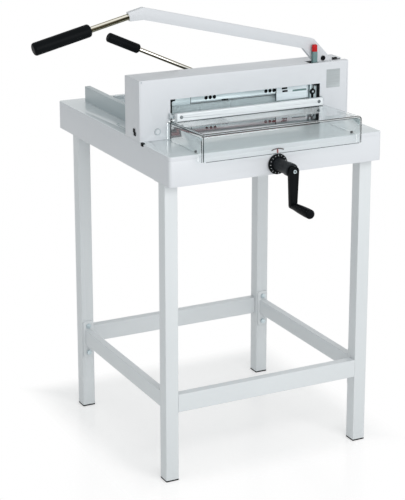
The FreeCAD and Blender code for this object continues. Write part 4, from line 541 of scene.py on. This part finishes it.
def add_slab(mesh, low, high):
    """A box between two corners in millimetres. Returns its faces."""
    low = Vector(low) * MM
    high = Vector(high) * MM
    made = bmesh.ops.create_cube(mesh, size=1.0)
    for vertex in made["verts"]:
        vertex.co = Vector(((low[i] + high[i]) / 2 + vertex.co[i] * (high[i] - low[i])) for i in range(3))
    return list({face for vertex in made["verts"] for face in vertex.link_faces})


def add_slabs(mesh, boxes):
    """Several boxes, each given by its two corners in millimetres."""
    for low, high in boxes:
        add_slab(mesh, low, high)


def add_turned(mesh, profile, centre, steps=32):
    """A body turned about an axis along y. The profile lists radius and y in millimetres."""
    x, z = centre
    rings = []
    for radius, y in profile:
        if radius == 0:
            rings.append([mesh.verts.new(Vector((x, y, z)) * MM)])
            continue
        ring = []
        for step in range(steps):
            turn = math.tau * step / steps
            point = Vector((x + radius * math.cos(turn), y, z + radius * math.sin(turn)))
            ring.append(mesh.verts.new(point * MM))
        rings.append(ring)
    for first, second in zip(rings, rings[1:]):
        for step in range(steps):
            after = (step + 1) % steps
            corners = [first[step % len(first)], first[after % len(first)],
                       second[after % len(second)], second[step % len(second)]]
            unique = list(dict.fromkeys(corners))
            mesh.faces.new(unique)
    bmesh.ops.recalc_face_normals(mesh, faces=mesh.faces)


def add_tube(mesh, path, radius, across, steps=8):
    """A round bar along a path in millimetres. Its path never runs along the direction across it."""
    points = [Vector(point) for point in path]
    rings = []
    for index, point in enumerate(points):
        before = points[max(index - 1, 0)]
        after = points[min(index + 1, len(points) - 1)]
        along = (after - before).normalized()
        side = along.cross(Vector(across)).normalized()
        up = side.cross(along)
        ring = []
        for step in range(steps):
            turn = math.tau * step / steps
            ring.append(mesh.verts.new((point + (side * math.cos(turn) + up * math.sin(turn)) * radius) * MM))
        rings.append(ring)
    faces = [mesh.faces.new(rings[0]), mesh.faces.new(rings[-1])]
    for first, second in zip(rings, rings[1:]):
        for step in range(steps):
            after = (step + 1) % steps
            faces.append(mesh.faces.new([first[step], first[after], second[after], second[step]]))
    bmesh.ops.recalc_face_normals(mesh, faces=faces)


def turned_point(centre, radius, turn, z):
    """A point on a circle about an upright axis."""
    return (centre[0] + radius * math.cos(turn), centre[1] + radius * math.sin(turn), z)


def add_piece(name, build, material, body, rounding):
    """A piece from a recipe that fills a mesh. It rides on a body. Its rounding is in millimetres."""
    mesh = bmesh.new()
    build(mesh)
    data = bpy.data.meshes.new(name)
    mesh.to_mesh(data)
    mesh.free()
    data.materials.append(MATERIALS[material])
    obj = bpy.data.objects.new(name, data)
    bpy.context.scene.collection.objects.link(obj)
    if rounding:
        round_edges(obj, rounding * MM)
    shade_smooth(obj)
    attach(obj, body)
    return obj


def add_slab_piece(name, boxes, material, body, rounding):
    """A piece made of boxes, each given by its two corners in millimetres."""
    return add_piece(name, lambda mesh: add_slabs(mesh, boxes), material, body, rounding)


def front_centre(node):
    """The middle of a node seen from the front, and the y of its front, in millimetres."""
    low, high = box_mm(node)
    return ((low.x + high.x) / 2, (low.z + high.z) / 2), low.y


def sunk_plate(mesh, low, high, border, depth, axis="y"):
    """A plate with a sunk field inside a border, on the side that faces down its axis."""
    faces = add_slab(mesh, low, high)
    front = min(faces, key=lambda face: getattr(face.calc_center_median(), axis))
    bmesh.ops.inset_region(mesh, faces=[front], thickness=border * MM, depth=-depth * MM)


def label_plate():
    """The bare foil plate on the bridge's front right."""
    width = 43.0
    height = 51.6
    thickness = 0.8
    side_gap = 22.6
    rise = 92.0
    right = COVER_HIGH.x - side_gap
    low = (right - width, FRONT_Y - thickness, TABLE_TOP_Z + rise)
    high = (right, FRONT_Y, TABLE_TOP_Z + rise + height)
    add_piece("label_plate", lambda mesh: sunk_plate(mesh, low, high, border=1.4, depth=0.3), "label_foil",
              "stand", rounding=0.3)


def cover_rivet():
    """The small rivet in the cover's top left corner."""
    from_side = 6.5
    from_top = 4.5
    profile = [(0, FRONT_Y - 1.4), (1.2, FRONT_Y - 1.2), (2.0, FRONT_Y - 0.6), (2.3, FRONT_Y)]
    centre = (CAP_LOW.x + from_side, COVER_TOP_Z - from_top)
    add_piece("cover_rivet", lambda mesh: add_turned(mesh, profile, centre), "grey_plastic", "stand",
              rounding=0)


def corner_plug():
    """The black plug in the table's edge at the bridge's left foot."""
    low = (CAP_LOW.x - 2, FRONT_Y - 23, TABLE_TOP_Z - 7)
    high = (CAP_LOW.x + 6, FRONT_Y - 9, TABLE_TOP_Z + 2.5)
    add_slab_piece("corner_plug", [(low, high)], "black_rubber", "stand", rounding=1.4)


def key_insert():
    """The dark lock insert in the key slot of the left end cap. It stands slightly proud of the cap."""
    outer_x = CAP_LOW.x - 1.5
    inner_x = CAP_HIGH.x + 3
    upper = ((outer_x, FRONT_Y + 29, TABLE_TOP_Z + 20), (inner_x, FRONT_Y + 40, TABLE_TOP_Z + 30.5))
    lower = ((outer_x, FRONT_Y + 24, TABLE_TOP_Z + 12), (inner_x, FRONT_Y + 36, TABLE_TOP_Z + 22))
    add_slab_piece("key_insert", [upper, lower], "black_rubber", "stand", rounding=0.3)


def end_mark():
    """A bare thin plate above the key slot."""
    thickness = 0.4
    low = (CAP_LOW.x - thickness, FRONT_Y + 18, TABLE_TOP_Z + 37)
    high = (CAP_LOW.x, FRONT_Y + 44, TABLE_TOP_Z + 52)
    add_piece("end_mark", lambda mesh: sunk_plate(mesh, low, high, border=1.5, depth=0.3, axis="x"),
              "cap_paint", "stand", rounding=0.1)


def button_inlay():
    """The lighter dished disc in the push button."""
    centre, y = front_centre("front_button")
    profile = [(0, y - 0.1), (3.6, y - 0.2), (4.8, y - 0.5), (5.4, y - 0.3), (5.6, y + 0.2)]
    add_piece("button_inlay", lambda mesh: add_turned(mesh, profile, centre), "paint", "button",
              rounding=0)


# Plates on the carrier's front, placed from the blade behind it
PLATE_THICKNESS = 2.5
PLATE_TOP_Z = BLADE_HIGH.z - 10
LEFT_PLATE_X = (BLADE_LOW.x + 8, BLADE_LOW.x + 79)
LEFT_PLATE_LOW_Z = BLADE_HIGH.z - 38
RIGHT_PLATE_X = (BLADE_HIGH.x - 135, BLADE_HIGH.x - 34)
RIGHT_PLATE_LOW_Z = BLADE_HIGH.z - 56


def carrier_plates():
    """The two cover plates on the front of the blade carrier."""
    y = CARRIER_FRONT_Y
    left = ((LEFT_PLATE_X[0], y - PLATE_THICKNESS, LEFT_PLATE_LOW_Z), (LEFT_PLATE_X[1], y, PLATE_TOP_Z))
    add_slab_piece("carrier_plate_left", [left], "carrier_steel", "blade_unit", rounding=0.6)
    low = (RIGHT_PLATE_X[0], y - PLATE_THICKNESS, RIGHT_PLATE_LOW_Z)
    high = (RIGHT_PLATE_X[1], y, PLATE_TOP_Z)
    add_piece("carrier_plate_right", lambda mesh: sunk_plate(mesh, low, high, border=1.0, depth=0.2),
              "pale_steel", "blade_unit", rounding=0.4)


def carrier_shadow_lines():
    """Painted shadow lines beside both cover plates, and along the carrier from one to the other."""
    y = CARRIER_FRONT_Y
    right_shadow_x = RIGHT_PLATE_X[0] - 1.6
    left_shadow_x = LEFT_PLATE_X[1] + 2
    boxes = [
        ((right_shadow_x, y - 1.0, RIGHT_PLATE_LOW_Z), (RIGHT_PLATE_X[0], y, PLATE_TOP_Z)),
        ((LEFT_PLATE_X[1], y - 1.0, LEFT_PLATE_LOW_Z), (left_shadow_x, y, PLATE_TOP_Z)),
        ((left_shadow_x, y - 1.2, LEFT_PLATE_LOW_Z - 1.2), (right_shadow_x, y, LEFT_PLATE_LOW_Z - 0.3)),
    ]
    add_slab_piece("carrier_shadow_lines", boxes, "black_rubber", "blade_unit", rounding=0)


def carrier_slots():
    """Painted shade of the slots in the right plate and the carrier, and of the right plate's shallow groove,
    as dark strips.
    """
    y = CARRIER_FRONT_Y
    left, right = RIGHT_PLATE_X
    top = PLATE_TOP_Z
    middle = BLADE_LOW.x + 184
    low = LEFT_PLATE_LOW_Z
    boxes = [
        ((left + 16.5, y - 3.4, top - 15.6), (left + 34, y - 2.3, top - 10.6)),
        ((left + 18.5, y - 3.4, top - 23.6), (left + 35, y - 2.3, top - 18.6)),
        ((middle - 10, y - 1.4, low + 0.2), (middle + 10, y, low + 3.6)),
    ]
    add_slab_piece("carrier_slots", boxes, "black_fastener", "blade_unit", rounding=0.6)
    groove = ((right - 50, y - 2.9, top - 24.6), (right - 6, y - 2.2, top - 19.6))
    add_slab_piece("carrier_groove", [groove], "catch_steel", "blade_unit", rounding=0.3)


# The blade stop, placed from the right liner of the opening
STOP_X = LINER_HIGH.x - 18
STOP_Y = LINER_HIGH.y
STOP_Z = LINER_HIGH.z - 22.5
SPRING_LOW_Z = STOP_Z + 8.5
SPRING_RISE = 0.28
SPRING_STEPS = 12
SPRING_TURNS = 4
SPRING_RADIUS = 3.2
SPRING_WIRE_RADIUS = 0.8


def stop_plate():
    """The plate that carries the blade stop at the right of the opening."""
    box = ((STOP_X - 7, STOP_Y, STOP_Z - 19), (STOP_X + 17.5, STOP_Y + 3, STOP_Z + 26))
    add_slab_piece("stop_plate", [box], "carrier_steel", "stand", rounding=0.4)


def stop_ring():
    """The stop's rubber ring and the tongue below it."""
    y = STOP_Y
    profile = [(3.0, y - 3.4), (7.0, y - 3.4), (8.4, y - 2.4), (8.4, y)]

    def build(mesh):
        add_turned(mesh, profile, (STOP_X, STOP_Z))
        add_slab(mesh, (STOP_X - 4, y - 1.6, STOP_Z - 18), (STOP_X + 3, y, STOP_Z - 7))

    add_piece("stop_ring", build, "black_rubber", "stand", rounding=0)


def stop_bolt():
    """The bolt in the middle of the stop's ring."""
    y = STOP_Y
    profile = [(0, y - 5.0), (2.0, y - 4.8), (3.0, y - 3.9), (3.0, y - 1.0)]
    add_piece("stop_bolt", lambda mesh: add_turned(mesh, profile, (STOP_X, STOP_Z)), "zinc_fastener",
              "stand", rounding=0)


def stop_spring():
    """The upright coil spring above the stop."""
    centre = (STOP_X, STOP_Y - 3.0)
    coil = []
    for step in range(SPRING_TURNS * SPRING_STEPS + 1):
        turn = step * math.tau / SPRING_STEPS
        coil.append(turned_point(centre, SPRING_RADIUS, turn, SPRING_LOW_Z + step * SPRING_RISE))
    add_piece("stop_spring", lambda mesh: add_tube(mesh, coil, SPRING_WIRE_RADIUS, (0, 0, 1)), "dark_zinc_and_painted_shade",
              "stand", rounding=0)


def opening_corners():
    """Black blocks on the opening's liners, widening the dark at its corners."""
    left = LINER_LOW.x
    right = LINER_HIGH.x
    top = LINER_HIGH.z
    front = LINER_LOW.y + 6
    stepped_front = LINER_LOW.y + 5.5
    back = LINER_LOW.y + 9
    boxes = [
        ((right - 5, front, top - 42.5), (right, back, top)),
        ((right - 16, stepped_front, top - 5.5), (right, back, top)),
        ((left, front, top - 58.5), (left + 4.5, back, top - 34.5)),
        ((left, stepped_front, top - 12), (left + 6, back, top - 4)),
    ]
    add_slab_piece("opening_corners", boxes, "black_rubber", "stand", rounding=0.5)


# In the hood's bends, whose radius is the outer one, the painted dark lines run in the middle of the wall
HOOD_BEND = 10.0
HOOD_WALL = 4.0
HOOD_LINE_INSET = HOOD_BEND - (HOOD_BEND - HOOD_WALL / 2) * math.sqrt(0.5)
CORNER_INSET = HOOD_BEND - (HOOD_BEND - HOOD_WALL / 2) * math.sqrt(1 / 3)
HOOD_LINE_SIDE_X = HOOD_HIGH.x - HOOD_LINE_INSET
HOOD_LINE_FRONT_Y = HOOD_LOW.y + HOOD_LINE_INSET
HOOD_LINE_TOP_Z = HOOD_HIGH.z - HOOD_LINE_INSET
HOOD_LINE_BACK_Z = BAR_LOW.z - HOOD_LINE_INSET


def hood_side_painted_lines():
    """Dark lines in the hood's side bends, painted reflection where the clear sheet gathers light."""
    radius = 1.3

    def build(mesh):
        for sign in (-1, 1):
            x = sign * HOOD_LINE_SIDE_X
            path = [
                (x, HOOD_HIGH.y - 1, HOOD_LINE_BACK_Z),
                (x, BAR_LOW.y, HOOD_LINE_BACK_Z),
                (x, HOOD_LOW.y + HOOD_BEND, HOOD_LINE_TOP_Z),
                (sign * (HOOD_HIGH.x - CORNER_INSET), HOOD_LOW.y + CORNER_INSET, HOOD_HIGH.z - CORNER_INSET),
                (x, HOOD_LINE_FRONT_Y, HOOD_HIGH.z - HOOD_BEND),
                (x, HOOD_LINE_FRONT_Y, HOOD_LOW.z + 1.5),
            ]
            add_tube(mesh, path, radius, (1, 0, 0))

    add_piece("hood_side_painted_lines", build, "painted_reflection_and_shadow", "guard", rounding=0)


def hood_cross_painted_lines():
    """Dark lines across the hood's front bend and its lower edge, painted reflection, and along its joint
    with the hinge bar, a painted shadow.
    """
    reach = HOOD_LINE_SIDE_X - 6
    bend = [(-reach, HOOD_LINE_FRONT_Y, HOOD_LINE_TOP_Z), (reach, HOOD_LINE_FRONT_Y, HOOD_LINE_TOP_Z)]
    lower_edge = [(-reach, HOOD_LOW.y + 2, HOOD_LOW.z + 1), (reach, HOOD_LOW.y + 2, HOOD_LOW.z + 1)]

    def build(mesh):
        add_tube(mesh, bend, 0.8, (0, 0, 1))
        add_tube(mesh, lower_edge, 0.7, (0, 0, 1))
        add_slab(mesh, (BAR_LOW.x, BAR_LOW.y - 1.2, BAR_LOW.z), (BAR_HIGH.x, BAR_LOW.y, BAR_LOW.z + 1.4))

    add_piece("hood_cross_painted_lines", build, "painted_reflection_and_shadow", "guard", rounding=0)


def crank_screw_socket():
    """The crank screw's hexagonal socket, as a flat dark hexagon of painted shade."""
    centre, y = front_centre("crank_screw")
    profile = [(0, y + 0.1), (1.9, y + 0.1), (2.1, y - 0.1), (2.4, y + 0.3)]
    add_piece("crank_screw_socket", lambda mesh: add_turned(mesh, profile, centre, steps=6), "black_fastener",
              "crank", rounding=0)


def neck_buffer():
    """The black rubber buffer beside the lever's neck on the bridge's top."""
    height = 3.5
    low = (COVER_HIGH.x - 27, FRONT_Y + 30, COVER_TOP_Z)
    high = (COVER_HIGH.x - 13, FRONT_Y + 38, COVER_TOP_Z + height)
    add_slab_piece("neck_buffer", [(low, high)], "black_rubber", "stand", rounding=1.0)


TICK_COUNT = 16
TICKS_PER_LONG = 4
TICK_INNER = DIAL_RADIUS - 5.8
TICK_OUTER = DIAL_RADIUS - 3.2
LONG_TICK_OUTER = DIAL_RADIUS - 2.2
TICK_HALF_WIDTH = 0.5


def dial_ticks():
    """White marks around the rim of the dial, every fourth one longer."""
    (x, z), y = front_centre("crank_dial")

    def build(mesh):
        for tick in range(TICK_COUNT):
            outer = TICK_OUTER if tick % TICKS_PER_LONG else LONG_TICK_OUTER
            faces = add_slab(mesh, (-TICK_HALF_WIDTH, y - 0.2, TICK_INNER), (TICK_HALF_WIDTH, y + 0.1, outer))
            vertices = list({vertex for face in faces for vertex in face.verts})
            turn = Matrix.Rotation(math.tau * tick / TICK_COUNT, 4, "Y")
            bmesh.ops.transform(mesh, matrix=turn, verts=vertices)
            bmesh.ops.translate(mesh, vec=Vector((x, 0, z)) * MM, verts=vertices)

    add_piece("dial_ticks", build, "white_plastic", "crank", rounding=0)


def table_dark_strips():
    """Two dark strips in the table top behind the bridge's left end."""
    x = CAP_LOW.x
    y = CAP_HIGH.y
    low_z = TABLE_TOP_Z - 1
    high_z = TABLE_TOP_Z + 0.15
    boxes = [
        ((x + 28.5, y + 52, low_z), (x + 31, y + 126, high_z)),
        ((x + 36, y + 122, low_z), (x + 38.5, y + 138, high_z)),
    ]
    add_slab_piece("table_dark_strips", boxes, "catch_steel", "stand", rounding=0)


PIECES = (
    label_plate, cover_rivet, corner_plug, key_insert, end_mark, button_inlay,
    carrier_plates, carrier_shadow_lines, carrier_slots,
    stop_plate, stop_ring, stop_bolt, stop_spring, opening_corners,
    hood_side_painted_lines, hood_cross_painted_lines,
    crank_screw_socket, neck_buffer, dial_ticks, table_dark_strips,
)

for make_piece in PIECES:
    make_piece()


# Stage

def seen_directly(nodes, links):
    """1 for rays from the camera, from a reflection or through glass, and 0 for light."""
    paths = nodes.new("ShaderNodeLightPath")
    total = paths.outputs["Is Camera Ray"]
    for kind in ("Is Glossy Ray", "Is Transmission Ray"):
        either = nodes.new("ShaderNodeMath")
        either.operation = "MAXIMUM"
        links.new(total, either.inputs[0])
        links.new(paths.outputs[kind], either.inputs[1])
        total = either.outputs[0]
    return total


FLOOR_SIZE = 60.0
FLOOR_DROP = 0.2 * MM
FLOOR_COLOUR = 0.9
FLOOR_GLOW = 0.33
FLOOR_SHADE = (0.80, 0.775, 0.765)
FLOOR_GLOSS = 0.06

# The floor's shaded square in millimetres, set back from the middle of the feet
SHADE_CENTRE_Y = (FEET_LOW.y + FEET_HIGH.y) / 2 + 57.5
SHADE_FULL = FEET_HIGH.x + 14.5
SHADE_END = FEET_HIGH.x + 134.5


def distance_from_shade(material):
    """How far a point of the floor lies from the middle of the shade, along x or y, whichever is more."""
    from_centre = add(material, "ShaderNodeVectorMath", operation="SUBTRACT")
    link(material, place(material), from_centre.inputs[0])
    from_centre.inputs[1].default_value = (0, SHADE_CENTRE_Y * MM, 0)
    aside = add(material, "ShaderNodeVectorMath", operation="ABSOLUTE")
    link(material, from_centre.outputs["Vector"], aside.inputs[0])
    parts = add(material, "ShaderNodeSeparateXYZ")
    link(material, aside.outputs["Vector"], parts.inputs["Vector"])
    away = add(material, "ShaderNodeMath", operation="MAXIMUM")
    link(material, parts.outputs["X"], away.inputs[0])
    link(material, parts.outputs["Y"], away.inputs[1])
    return away.outputs["Value"]


def seen_floor(material):
    """The floor as the camera sees it: shaded near the object, white in the open, slightly glossy."""
    shade = add(material, "ShaderNodeBsdfDiffuse")
    shade.inputs["Color"].default_value = (*FLOOR_SHADE, 1)
    glow = add(material, "ShaderNodeEmission")
    glow.inputs["Strength"].default_value = FLOOR_GLOW
    both = add(material, "ShaderNodeAddShader")
    link(material, shade.outputs[0], both.inputs[0])
    link(material, glow.outputs[0], both.inputs[1])
    open_floor = add(material, "ShaderNodeMapRange", interpolation_type="SMOOTHSTEP")
    open_floor.inputs["From Min"].default_value = SHADE_FULL * MM
    open_floor.inputs["From Max"].default_value = SHADE_END * MM
    link(material, distance_from_shade(material), open_floor.inputs["Value"])
    white = add(material, "ShaderNodeEmission")
    fade = add(material, "ShaderNodeMixShader")
    link(material, open_floor.outputs["Result"], fade.inputs["Fac"])
    link(material, both.outputs[0], fade.inputs[1])
    link(material, white.outputs[0], fade.inputs[2])
    gloss = add(material, "ShaderNodeBsdfGlossy")
    gloss.inputs["Color"].default_value = (1, 1, 1, 1)
    gloss.inputs["Roughness"].default_value = 0.22
    polished = add(material, "ShaderNodeMixShader")
    polished.inputs["Fac"].default_value = FLOOR_GLOSS
    link(material, fade.outputs[0], polished.inputs[1])
    link(material, gloss.outputs[0], polished.inputs[2])
    return polished.outputs[0]


def floor():
    """A pale studio floor that is white in the open and keeps the object's shadow."""
    bpy.ops.mesh.primitive_plane_add(size=FLOOR_SIZE, location=(0, 0, -FLOOR_DROP))
    plane = bpy.context.object
    plane.name = "floor"
    material, shader = new_material("floor")
    nodes = material.node_tree.nodes
    shader.inputs["Base Color"].default_value = (FLOOR_COLOUR, FLOOR_COLOUR, FLOOR_COLOUR, 1)
    shader.inputs["Roughness"].default_value = 0.6
    choose = add(material, "ShaderNodeMixShader")
    link(material, seen_directly(nodes, material.node_tree.links), choose.inputs["Fac"])
    link(material, shader.outputs[0], choose.inputs[1])
    link(material, seen_floor(material), choose.inputs[2])
    link(material, choose.outputs[0], nodes["Material Output"].inputs["Surface"])
    plane.data.materials.append(material)


def area_lamp(name, place_at, target, size, power):
    """A soft white rectangle of light that faces its target."""
    lamp = bpy.data.lights.new(name, "AREA")
    lamp.shape = "RECTANGLE"
    lamp.size = size[0]
    lamp.size_y = size[1]
    lamp.energy = power
    obj = bpy.data.objects.new(name, lamp)
    bpy.context.scene.collection.objects.link(obj)
    obj.location = place_at
    obj.rotation_mode = "QUATERNION"
    obj.rotation_quaternion = (Vector(target) - Vector(place_at)).to_track_quat("-Z", "Y")


LAMP_PLACE = (0.0, -2.4, 1.7)
LAMP_TARGET = (0.0, 0.0, 0.8)
LAMP_SIZE = (2.4, 1.6)
LAMP_POWER = 32.0
WORLD_COLOUR = (0.93, 0.985, 1.0)
WORLD_LIGHT = 0.61


def world():
    """Even cool light from all round, which the camera and reflections see as white."""
    room = bpy.data.worlds.new("studio")
    bpy.context.scene.world = room
    room.use_nodes = True
    nodes = room.node_tree.nodes
    links = room.node_tree.links
    nodes.clear()
    light = nodes.new("ShaderNodeBackground")
    light.inputs["Color"].default_value = (*WORLD_COLOUR, 1)
    light.inputs["Strength"].default_value = WORLD_LIGHT
    white = nodes.new("ShaderNodeBackground")
    white.inputs["Color"].default_value = (1, 1, 1, 1)
    white.inputs["Strength"].default_value = 1.0
    mix = nodes.new("ShaderNodeMixShader")
    out = nodes.new("ShaderNodeOutputWorld")
    links.new(seen_directly(nodes, links), mix.inputs["Fac"])
    links.new(light.outputs[0], mix.inputs[1])
    links.new(white.outputs[0], mix.inputs[2])
    links.new(mix.outputs[0], out.inputs["Surface"])


def studio():
    """The floor, the room's light and one soft lamp in front."""
    floor()
    world()
    area_lamp("key_lamp", LAMP_PLACE, LAMP_TARGET, LAMP_SIZE, LAMP_POWER)


# Camera

CAMERA_PLACE = (-2.0395, -3.9615, 1.9577)
CAMERA_YAW = 26.833
CAMERA_PITCH = 15.231
CAMERA_ROLL = -0.033
CAMERA_FOCAL_PIXELS = 1616.915
CAMERA_SHIFT_Y = -0.15
FRAME_LONG_SIDE = 500
SENSOR = 36.0
CAMERA_REACH = 100.0


def camera():
    """The camera at the photograph's place, turned right, tilted down and slightly rolled."""
    data = bpy.data.cameras.new("camera")
    obj = bpy.data.objects.new("camera", data)
    bpy.context.scene.collection.objects.link(obj)
    data.sensor_width = SENSOR
    data.lens = CAMERA_FOCAL_PIXELS / FRAME_LONG_SIDE * SENSOR
    data.shift_y = CAMERA_SHIFT_Y
    data.clip_end = CAMERA_REACH
    turn = Matrix.Rotation(math.radians(-CAMERA_YAW), 4, "Z")
    tilt = Matrix.Rotation(math.radians(90 - CAMERA_PITCH), 4, "X")
    roll = Matrix.Rotation(math.radians(CAMERA_ROLL), 4, "Z")
    obj.matrix_world = Matrix.Translation(CAMERA_PLACE) @ turn @ tilt @ roll
    bpy.context.scene.camera = obj


studio()
camera()
bpy.context.scene.view_settings.view_transform = "Standard"
